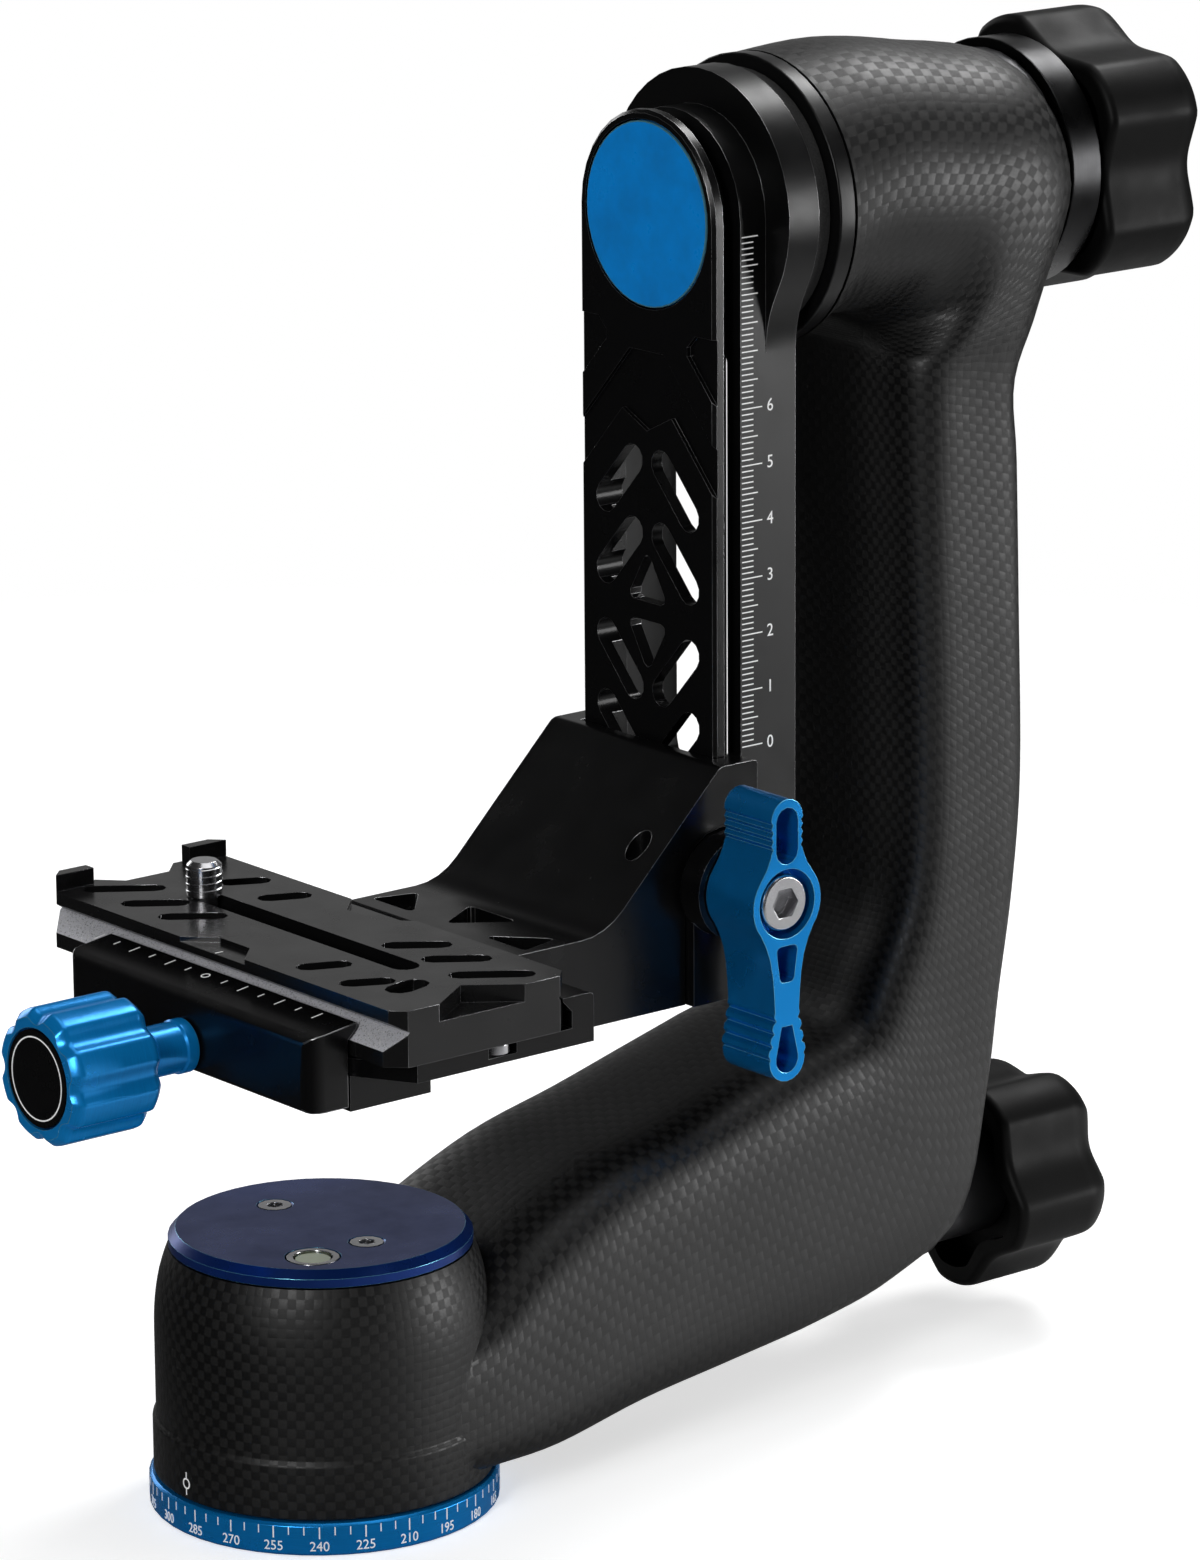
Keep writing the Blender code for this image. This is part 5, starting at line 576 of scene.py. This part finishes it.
def arm_ring(inner, outer, inside, outside, square_in, square_out, dish):
    """A section's outline: a rounded oblong, hollowed on its inner side by the dish."""
    centre = 0.5 * (inner + outer)
    reach = 0.5 * (outer - inner)
    toward = reach.normalized()
    points = []
    for i in range(ARM_STEPS):
        turn = TURN * (i + 0.5) / ARM_STEPS
        c, s = math.cos(turn), math.sin(turn)
        square = square_out if c > 0 else square_in
        u = math.copysign(abs(c) ** (2 / square), c)
        v = math.copysign(abs(s) ** (2 / square), s)
        width = 0.5 * (inside + outside) + 0.5 * (outside - inside) * u
        sunk = dish * (1 - v * v) ** 2 * max(0, -u)
        place = centre + u * reach + sunk * toward
        points.append((place.x, v * width, place.y))
    return points


def boss():
    """The boss over the pan bearings: a proud collar at its foot, and a shoulder that leans in."""
    collar_top = BOSS_BOTTOM + COLLAR_HEIGHT
    proud = BOSS_RADIUS + COLLAR_PROUD
    profile = [
        (0, BOSS_BOTTOM), (proud - 0.5 * MM, BOSS_BOTTOM),
        (proud - 0.15 * MM, BOSS_BOTTOM + 0.15 * MM), (proud, BOSS_BOTTOM + 0.5 * MM),
        (proud, collar_top - 0.9 * MM), (proud - 0.1 * MM, collar_top - 0.45 * MM),
        (BOSS_RADIUS + 0.12 * MM, collar_top), (BOSS_RADIUS, collar_top + 0.4 * MM),
    ]
    steps, power = 24, 2.6
    for i in range(steps + 1):
        t = i / steps
        radius = BOSS_RADIUS - (BOSS_RADIUS - BOSS_TOP_RADIUS) * t**power
        profile.append((radius, BOSS_TOP - BOSS_SHOULDER + t * BOSS_SHOULDER))
    profile += [(BOSS_TOP_RADIUS, BOSS_TOP + OVERRUN), (0, BOSS_TOP + OVERRUN)]
    made = turned("boss", profile, "Z", ORIGIN, BOSS_STEPS)
    uv = made.data.uv_layers.new(name="weave")
    for face in made.data.polygons:
        places = []
        for index in face.loop_indices:
            co = made.data.vertices[made.data.loops[index].vertex_index].co
            places.append((index, math.atan2(co.y, co.x) / TURN, co.z))
        turns = [turn for _, turn, _ in places]
        over_seam = max(turns) - min(turns) > 0.5
        for index, turn, z in places:
            shift = 1 if over_seam and turn < 0 else 0
            uv.data[index].uv = ((turn + shift) * BOSS_GIRTH, z)
    return made


def carbon_arm():
    """One skin from the boss to the tilt housing, with the bores and seats of the solid."""
    stations = filled(list(arm_stations()), ARM_FILL)
    lengths = [0.0]
    for before, after in zip(stations, stations[1:]):
        step = 0.5 * ((after[0] + after[1]) - (before[0] + before[1]))
        lengths.append(lengths[-1] + step.length)
    arm = lofted("arm_skin", [arm_ring(*station) for station in stations], lengths)
    tilt, lock = (0, 0, TILT_HEIGHT), (0, 0, LOCK_Z)
    combined(arm, "UNION", [boss(), rod(PAN_PAD_RADIUS, PAN_PAD_ROOT_X, PAN_PAD_X, "X", lock)])
    cap_ends = (BOSS_TOP, BOSS_TOP + CAP_SEAT_HEIGHT)
    boss_ends = (BOSS_BOTTOM - OVERRUN, BOSS_TOP + OVERRUN)
    housing_ends = (HOUSING_FACE_X - OVERRUN, HOUSING_BACK_X + OVERRUN)
    tilt_ends = (HOUSING_BACK_X, HOUSING_BACK_X + TILT_SEAT_LENGTH)
    combined(arm, "DIFFERENCE", [
        rod(CAP_SEAT_RADIUS, *cap_ends, "Z", ORIGIN, BOSS_STEPS),
        rod(ARM_BORE, *boss_ends, "Z", ORIGIN),
        rod(ARM_BORE, *housing_ends, "X", tilt),
        rod(TILT_SEAT_RADIUS, *tilt_ends, "X", tilt, BOSS_STEPS),
        rod(PAN_SEAT_RADIUS, PAN_PAD_X, PAN_SEAT_END_X, "X", lock),
        rod(SHOE_BORE, 0, SHOE_BORE_END_X, "X", lock),
        rod(ROD_BORE, SHOE_BORE_END_X - OVERRUN, PAN_PAD_X + OVERRUN, "X", lock),
    ])
    coated(arm, CARBON)
    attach(arm, "arm")
    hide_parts("carbon_arm")
    softened(arm)


carbon_arm()


# Lobed lock knobs
def lobed_ring(radius, valley, turn, shrink, along, centre_z):
    """Broad lobes with hollows between them, and a crease where the two meet."""
    points = []
    steps = 36 * KNOB_LOBES
    crease, crease_share = math.radians(13), 0.12
    middle = math.pi / KNOB_LOBES
    for i in range(steps):
        angle = TURN * i / steps
        off = abs((angle + middle) % (2 * middle) - middle)
        hollow = crease_share * min(1, off / crease) ** 2
        if off > crease:
            rise = math.sin(0.5 * math.pi * (off - crease) / (middle - crease))
            hollow += (1 - crease_share) * rise
        reach = radius - shrink - valley * hollow
        y, z = -reach * math.sin(angle + turn), reach * math.cos(angle + turn)
        points.append((along, y, centre_z + z))
    return points


def rounded_end(edge, end, inward, steps):
    """How much the outline shrinks, and where along the axis, over a quarter round edge."""
    for i in range(steps + 1):
        lean = 0.5 * math.pi * i / steps
        yield edge * (1 - math.sin(lean)), end + inward * edge * (1 - math.cos(lean))


def lobed_knob(
    name, node, body, centre_z, *, radius, valley, turn, start_x, length, face_edge, bore, hollow,
):
    """A lock knob that starts at start_x, with a hollow rear and a blind bore for its screw."""
    rear = list(rounded_end(KNOB_RIM_EDGE, start_x, 1, steps=5))
    face = list(rounded_end(face_edge, start_x + length, -1, steps=12))
    knob = lofted(name, [
        lobed_ring(radius, valley, turn, shrink, along, centre_z)
        for shrink, along in rear + face[::-1]
    ])
    floor = start_x + hollow
    inside = [
        lobed_ring(radius, valley, turn, KNOB_WALL, along, centre_z)
        for along in (start_x - OVERRUN, floor)
    ]
    bore_ends = (floor - OVERRUN, floor + KNOB_BORE_DEPTH)
    combined(knob, "DIFFERENCE", [
        lofted("tool", inside), rod(bore, *bore_ends, "X", (0, 0, centre_z)),
    ])
    coated(knob, PLASTIC)
    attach(knob, body)
    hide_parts(node)
    softened(knob)


lobed_knob(
    "tilt_knob_skin", "tilt_lock_knob", "tilt_knob", TILT_HEIGHT, radius=25.9 * MM,
    valley=4.6 * MM, turn=math.radians(-16), start_x=161.4 * MM, length=24.4 * MM,
    face_edge=6.8 * MM, bore=4.3 * MM, hollow=5.9 * MM,
)
lobed_knob(
    "pan_knob_skin", "pan_lock_knob", "pan_knob", LOCK_Z, radius=20.5 * MM,
    valley=3.5 * MM, turn=math.radians(33), start_x=145.6 * MM, length=24.7 * MM,
    face_edge=8.0 * MM, bore=3.3 * MM, hollow=5.0 * MM,
)


# Fluted clamp knob
def fluted_ring(shrink, along):
    points = []
    steps = 18 * GRIP_FLUTES
    for i in range(steps):
        angle = TURN * i / steps
        flute = max(0, math.cos(GRIP_FLUTES * angle)) ** 0.8
        reach = GRIP_RADIUS - shrink - GRIP_FLUTE_DEPTH * flute
        points.append((along, reach * math.cos(angle), CLAMP_KNOB_Z + reach * math.sin(angle)))
    return points


def clamp_grip():
    """The fluted grip and its slim neck, with a seat for the insert and a bore for the screw."""
    centre = (0, 0, CLAMP_KNOB_Z)
    # How far in from an end, and how much the outline shrinks there, in millimetres
    rounding = ((0.0, 1.4), (0.7, 0.75), (1.2, 0.3), (1.7, 0.06), (2.1, 0.0))
    rings = [fluted_ring(shrink * MM, GRIP_FACE_X + deep * MM) for deep, shrink in rounding]
    rings += [fluted_ring(shrink * MM, GRIP_X - deep * MM) for deep, shrink in rounding[::-1]]
    grip = lofted("clamp_grip", rings)
    # Radius and x, in millimetres
    neck = (
        (0, -41), (4.7, -41), (4.7, -39.2), (4.4, -38.8), (4.4, -30.4), (4.7, -30.0),
        (4.7, -28.1), (4.4, -27.8), (0, -27.8),
    )
    profile = [(radius * MM, x * MM) for radius, x in neck]
    combined(grip, "UNION", [turned("neck", profile, "X", centre)])
    seat_ends = (GRIP_FACE_X - OVERRUN, INSERT_SEAT_X)
    screw_ends = (-48.3 * MM, -26.8 * MM)
    combined(grip, "DIFFERENCE", [
        rod(INSERT_SEAT_RADIUS, *seat_ends, "X", centre, ROUND_STEPS),
        rod(CLAMP_SCREW_BORE, *screw_ends, "X", centre),
    ])
    # Its bevelled edges take the light blue of a painted highlight.
    coated(grip, BLUE_TURNED, BLUE_EDGE_HIGHLIGHT)
    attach(grip, "clamp_knob")
    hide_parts("clamp_knob")
    softened(grip, bevel=0.15 * MM, angle=40, highlight_slot=1)


clamp_grip()

# CAD nodes that keep their shape
dressed("pan_base", BLUE_RING, bevel=0.12 * MM)
dressed("top_cap", NAVY, bevel=0.3 * MM, segments=3, edge=BLUE_EDGE_HIGHLIGHT)
dressed("hub_disc", BLUE_DISC, bevel=0.3 * MM, edge=BLUE_EDGE_HIGHLIGHT)
dressed("height_lever", BLUE, bevel=0.35 * MM, edge=BLUE_EDGE_HIGHLIGHT, angle=50)
dressed("dovetail_rail", BLACK, bevel=0.24 * MM, edge=GREY_EDGE_HIGHLIGHT, angle=30)
dressed("cradle_bracket rail_jaw", BLACK, bevel=0.35 * MM, segments=3, edge=GREY_EDGE_HIGHLIGHT, angle=30)
dressed("swing_plate", RAIL_BLACK, bevel=0.1 * MM, edge=GREY_EDGE_HIGHLIGHT)
dressed("clamp_body clamp_jaw", BLACK, bevel=0.3 * MM, segments=3, edge=GREY_EDGE_HIGHLIGHT)
dressed("lens_plate", PLATE_BLACK, bevel=0.22 * MM, edge=PLATE_EDGE_HIGHLIGHT)
dressed("tilt_face_ring", RAIL_BLACK, bevel=0.4 * MM, segments=3)
dressed("pan_knob_collar", DARK_ALLOY, bevel=0.4 * MM)
# The tilt knob's collar is darkened as painted shade.
dressed("tilt_knob_collar", SHADED_COLLAR, bevel=0.4 * MM)
dressed("tilt_brake_disc", FRICTION, bevel=0.2 * MM)
dressed("knob_insert", BLACK, bevel=0.15 * MM)
dressed("grub_screw", BLACK, bevel=0.1 * MM)
dressed("level_vial", LIQUID, bevel=0.2 * MM)
dressed("level_cup", STEEL, bevel=0.15 * MM)
dressed("pan_sleeve cap_ring", ALLOY, bevel=0.1 * MM)
dressed("tilt_sleeve", DARK_ALLOY, bevel=0.1 * MM)
dressed(
    "pan_spindle lower_pan_bearing upper_pan_bearing pan_brake_drum spindle_nut inner_tilt_bearing"
    " outer_tilt_bearing thrust_washer tilt_axle pan_lock_rod tilt_lock_screw pan_brake_shoe"
    " clamp_screw guide_pin_1 guide_pin_2 screw_washer", STEEL_TURNED, bevel=0.1 * MM,
)
dressed(
    "base_screw_1 base_screw_2 base_screw_3 base_screw_4 cap_screw_1 cap_screw_2 hub_screw_1"
    " hub_screw_2 hub_screw_3 hub_screw_4 rail_screw_1 rail_screw_2 clamp_bolt_1 clamp_bolt_2"
    " stop_screw_near stop_screw_far lever_bolt camera_screw", STEEL, bevel=0.1 * MM,
)


def speckle_flank():
    """Bare metal on the plate's flank that faces up beside the sliding jaw."""
    obj = frame["nodes"]["lens_plate"]
    obj.data.materials.append(SPECKLE)
    bare = len(obj.data.materials) - 1
    turn = obj.matrix_world.to_3x3()
    for face in obj.data.polygons:
        normal = (turn @ face.normal).normalized()
        beside_jaw = (obj.matrix_world @ face.center).x < -15.5 * MM
        if normal.x < -0.4 and normal.z > 0.4 and beside_jaw:
            face.material_index = bare


speckle_flank()

# Printed marks: thin raised solids on the surface that carries them. Those on a round face
# start a little below it. The base's front is the side that the photograph shows.
ROUND_LIFT = -0.01 * MM
BASE_FRONT = math.atan2(-927.0, -689.2)


def slab(bm, corners, normal):
    """A thin closed solid on a surface, from its outline's corners."""
    above, below = 0.04 * MM, 0.012 * MM
    low = [bm.verts.new(Vector(c) - below * normal) for c in corners]
    high = [bm.verts.new(Vector(c) + above * normal) for c in corners]
    bm.faces.new(low)
    bm.faces.new(list(reversed(high)))
    for i in range(len(corners)):
        j = (i + 1) % len(corners)
        bm.faces.new((low[i], low[j], high[j], high[i]))


def digits(text, height):
    """The mesh of a thin solid number, centred on its middle."""
    curve = bpy.data.curves.new("digits", "FONT")
    curve.body = text
    curve.size = height / 0.72
    curve.align_x = "CENTER"
    curve.align_y = "CENTER"
    curve.extrude = 0.05 * MM
    curve.resolution_u = 4
    obj = bpy.data.objects.new("digits", curve)
    bpy.context.scene.collection.objects.link(obj)
    bpy.context.view_layer.update()
    graph = bpy.context.evaluated_depsgraph_get()
    mesh = bpy.data.meshes.new_from_object(obj.evaluated_get(graph))
    bpy.data.objects.remove(obj)
    return mesh


def marks(name, body, place, strokes, numbers=(), lift=0.0):
    """White strokes and numbers on a surface.

    place turns a length across, a length up and a height off the surface into a point. A
    stroke is the length across at which the surface's direction is taken, and an outline.
    """
    bm = bmesh.new()
    for at, outline in strokes:
        normal = Vector(place(at, 0, 1)) - Vector(place(at, 0, 0))
        slab(bm, [place(a, b, lift) for a, b in outline], normal)
    for text, height, across, up in numbers:
        start = len(bm.verts)
        bm.from_mesh(digits(text, height))
        bm.verts.ensure_lookup_table()
        for vert in bm.verts[start:]:
            x, y, z = vert.co
            vert.co = place(across + 0.95 * x, up + y, 0.8 * z)
    linked(name, bm, WHITE, body)


def bar(a0, b0, a1, b1):
    return [(a0, b0), (a1, b0), (a1, b1), (a0, b1)]


def circle(a, b, inner, outer, steps):
    """The outlines of the short pieces that a circle is made of."""
    for i in range(steps):
        outline = []
        for k, r in ((i, inner), (i + 1, inner), (i + 1, outer), (i, outer)):
            angle = TURN * k / steps
            outline.append((a + r * math.cos(angle), b + r * math.sin(angle)))
        yield outline


def round_place(radius):
    """For marks round an upright cylinder. Lengths across run along its face."""
    def place(across, up, height):
        turn = across / radius
        return ((radius + height) * math.cos(turn), (radius + height) * math.sin(turn), up)

    return place


def rail_scale():
    """The centimetre scale on the swing plate's side."""
    left, zero, half = 79.9 * MM, 124.1 * MM, 0.11 * MM
    strokes = []
    for i in range(91):
        z = zero + i * MM
        if i % 10 == 0 and i <= 60:
            long = 4.6 * MM
        elif i % 5 == 0:
            long = 3.6 * MM
        else:
            long = 2.6 * MM
        strokes.append((0, bar(left, z - half, left + long, z + half)))
    numbers = [(str(i), 2.3 * MM, left + 6.4 * MM, zero + 10 * i * MM) for i in range(7)]
    marks("rail_scale", "swing", lambda a, b, h: (a, PLATE_SIDE_Y - h, b), strokes, numbers)


def jaw_scale():
    """Ticks on the sliding jaw's slope, with a circle in the middle."""
    def place(a, b, h):
        return (a - JAW_SLOPE * h, b, JAW_SLOPE_Z + (a - JAW_SLOPE_X) * JAW_SLOPE + h)

    middle_x, middle_y = -20.0 * MM, 4.25 * MM
    pitch, half = 5.2 * MM, 0.12 * MM
    strokes = []
    for i in range(-6, 7):
        if i:
            y = middle_y + pitch * i
            reach = (1.15 if i % 2 == 0 else 0.7) * MM
            strokes.append((0, bar(middle_x - reach, y - half, middle_x + reach, y + half)))
    for outline in circle(middle_x - 0.1 * MM, middle_y, 0.62 * MM, 0.86 * MM, steps=20):
        strokes.append((0, outline))
    marks("jaw_scale", "clamp_jaw", place, strokes)


def plate_mark():
    """The white line across the plate's edge that is read against the jaw's ticks."""
    stroke = bar(-18.0 * MM, 4.15 * MM, -16.4 * MM, 4.4 * MM)
    marks("plate_mark", "lens_plate", lambda a, b, h: (a, b, PLATE_MARK_Z + h), [(0, stroke)])


def ring_scale():
    """Degrees round the base: a tick every 5 and a number every 15."""
    first = BASE_FRONT + math.radians(238)
    strokes, numbers = [], []
    for i in range(72):
        across = (first - math.radians(5 * i)) * BASE_RADIUS
        long, half = 1.45 * MM, 0.09 * MM
        if i % 3 == 0:
            long, half = 2.1 * MM, 0.11 * MM
            numbers.append((str(5 * i), 1.75 * MM, across, 1.75 * MM))
        strokes.append((across, bar(across - half, BASE_RIM_Z - long, across + half, BASE_RIM_Z)))
    marks("ring_scale", "base", round_place(BASE_RADIUS), strokes, numbers, ROUND_LIFT)


def index_mark():
    """The white line and circle on the arm's collar."""
    radius = BOSS_RADIUS + COLLAR_PROUD
    across = (BASE_FRONT - math.radians(53)) * radius
    half = 0.13 * MM
    outlines = [
        bar(across - half, low * MM, across + half, high * MM)
        for low, high in ((7.0, 8.15), (9.95, 11.1))
    ]
    outlines += circle(across, 9.05 * MM, 0.7 * MM, 1.0 * MM, steps=28)
    strokes = [(across, outline) for outline in outlines]
    marks("index_mark", "arm", round_place(radius), strokes, lift=ROUND_LIFT)


def insert_ring():
    """The thin white ring on the clamp knob's insert."""
    inner, outer, depth = 7.0 * MM, 7.25 * MM, 0.05 * MM
    low, high = GRIP_FACE_X - depth, GRIP_FACE_X + depth
    profile = [(inner, low), (outer, low), (outer, high), (inner, high)]
    centre = (0, 0, CLAMP_KNOB_Z)
    softened(turned("insert_ring", profile, "X", centre, material=WHITE, body="clamp_knob"))


rail_scale()
jaw_scale()
plate_mark()
ring_scale()
index_mark()
insert_ring()


# Screw thread
def thread():
    """A raised helix on the camera screw, which fades out at both ends."""
    centre = Vector((0, CAMERA_SCREW_Y, 0))
    low, high = LENS_TOP_Z + 0.5 * MM, LENS_TOP_Z + 5.6 * MM
    pitch, root, crest = 1.27 * MM, 2.5 * MM, 3.25 * MM
    steps, fade_steps = 40, 8
    count = int((high - low) / pitch * steps)
    bm = bmesh.new()
    rows = []
    for i in range(count + 1):
        turn = TURN * i / steps
        z = low + (high - low) * i / count
        tip = root + (crest - root) * min(1.0, i / fade_steps, (count - i) / fade_steps)
        row = []
        for r, rise in ((root, -0.5), (tip, -0.12), (tip, 0.12), (root, 0.5)):
            point = Vector((r * math.cos(turn), r * math.sin(turn), z + rise * pitch))
            row.append(bm.verts.new(centre + point))
        rows.append(row)
    bm.faces.new(rows[0])
    bm.faces.new(list(reversed(rows[-1])))
    for a, b in zip(rows, rows[1:]):
        for i in range(len(a)):
            j = (i + 1) % len(a)
            bm.faces.new((a[i], a[j], b[j], b[i]))
    softened(linked("screw_thread", bm, STEEL, "camera_screw"))


thread()


# Stage, lights and camera
def stage():
    """A white floor that fades out. Reflections see it darker towards -X."""
    reach, drop = 3.0, 0.05 * MM
    bm = bmesh.new()
    for x, y in bar(-reach, -reach, reach, reach):
        bm.verts.new((x, y, -drop))
    bm.faces.new(bm.verts)
    floor = linked("floor", bm)
    s = Shader("floor_white")
    rays = s.node("ShaderNodeLightPath").outputs
    where = s.node("ShaderNodeTexCoord").outputs["Object"]
    split = s.node("ShaderNodeSeparateXYZ", {0: where}).outputs
    side = s.math("SUBTRACT", split[0], s.math("MULTIPLY", split[1], 0.6))
    mirrored = s.mix(s.ramp(side, -0.1, 0.2), grey(0.05), grey(0.9))
    cloud = s.noise(1 / 3.0, detail=2.0, rough=0.5)
    white = s.mix(s.ramp(cloud, 0.3, 0.7), grey(0.93), grey(0.92))
    away = s.vector_math("DISTANCE", where, (0.06, 0.05, 0))
    coated(floor, s.done(
        Base_Color=s.mix(rays["Is Glossy Ray"], white, mirrored),
        Emission_Color=grey(1), Emission_Strength=s.math("MULTIPLY", rays["Is Camera Ray"], 0.6),
        Roughness=0.9, Specular_IOR_Level=0.0, Alpha=s.ramp(away, 0.26, 0.62, 1.0, 0.0),
    ))


def area_light(name, place, aim, size, power):
    """A rectangular lamp that is turned towards its aim."""
    light = bpy.data.lights.new(name, "AREA")
    light.shape = "RECTANGLE"
    light.size, light.size_y = size
    light.energy = power
    obj = bpy.data.objects.new(name, light)
    bpy.context.scene.collection.objects.link(obj)
    obj.location = place
    obj.rotation_mode = "QUATERNION"
    obj.rotation_quaternion = (Vector(aim) - Vector(place)).to_track_quat("-Z", "Y")


def world():
    """White behind the object. The object itself sees a dim room with one soft bright side."""
    made = bpy.data.worlds.new("studio")
    bpy.context.scene.world = made
    made.use_nodes = True
    n = Nodes(made.node_tree)
    rays = n.node("ShaderNodeLightPath").outputs
    seen = n.math("MAXIMUM", rays["Is Camera Ray"], rays["Is Transmission Ray"])
    where = n.node("ShaderNodeTexCoord").outputs["Generated"]
    along = n.vector_math("DOT_PRODUCT", where, (0.63, 0.775, 0.05))
    glow = n.ramp(along, 0.86, 0.98, 0.03, 0.34, interpolation_type="SMOOTHSTEP")
    back = n.tree.nodes["Background"]
    back.inputs["Color"].default_value = grey(1)
    n.put(back.inputs["Strength"], n.ramp(seen, 0.0, 1.0, glow, 1.0))


def camera():
    """The photograph's view, fitted to points on the object. The pixels are those of its frame."""
    focal_pixels, image_height, sensor = 7054, 1560, 36
    azimuth, rise, roll = (math.radians(x) for x in (-39.0424, 14.7409, -0.3704))
    middle = Vector((62.55, 0, 117.58)) * MM
    distance = 1234.1 * MM
    made = bpy.data.cameras.new("camera")
    made.lens = focal_pixels / image_height * sensor
    made.sensor_width = sensor
    made.clip_start, made.clip_end = 0.05, 20
    obj = bpy.data.objects.new("camera", made)
    bpy.context.scene.collection.objects.link(obj)
    back = Vector((
        math.sin(azimuth) * math.cos(rise), -math.cos(azimuth) * math.cos(rise), math.sin(rise),
    ))
    right = Vector((math.cos(azimuth), math.sin(azimuth), 0))
    up = back.cross(right)
    c, s = math.cos(roll), math.sin(roll)
    across, above = c * right + s * up, c * up - s * right
    turn = Matrix((across, above, back)).transposed().to_4x4()
    obj.matrix_world = Matrix.Translation(middle + distance * back) @ turn
    bpy.context.scene.camera = obj


stage()
world()
camera()
area_light("top", (0.2, -0.1, 1.3), aim=(0.06, 0, 0.1), size=(1.0, 1.0), power=4.5)
area_light("rim", (0.9, 0.22, 1.05), aim=(0.1, 0, 0.15), size=(0.35, 0.5), power=6)
area_light("left", (-1.2, -0.7, 0.7), aim=(0.05, 0, 0.12), size=(0.3, 0.6), power=8)
area_light("front", (1.15, -0.95, 0.16), aim=(0.06, 0, 0.02), size=(0.5, 0.5), power=9)
area_light("behind", (0.15, 1.2, 0.4), aim=(0.0, 0, 0.1), size=(0.5, 0.5), power=2)

bpy.context.scene.view_settings.view_transform = "Standard"
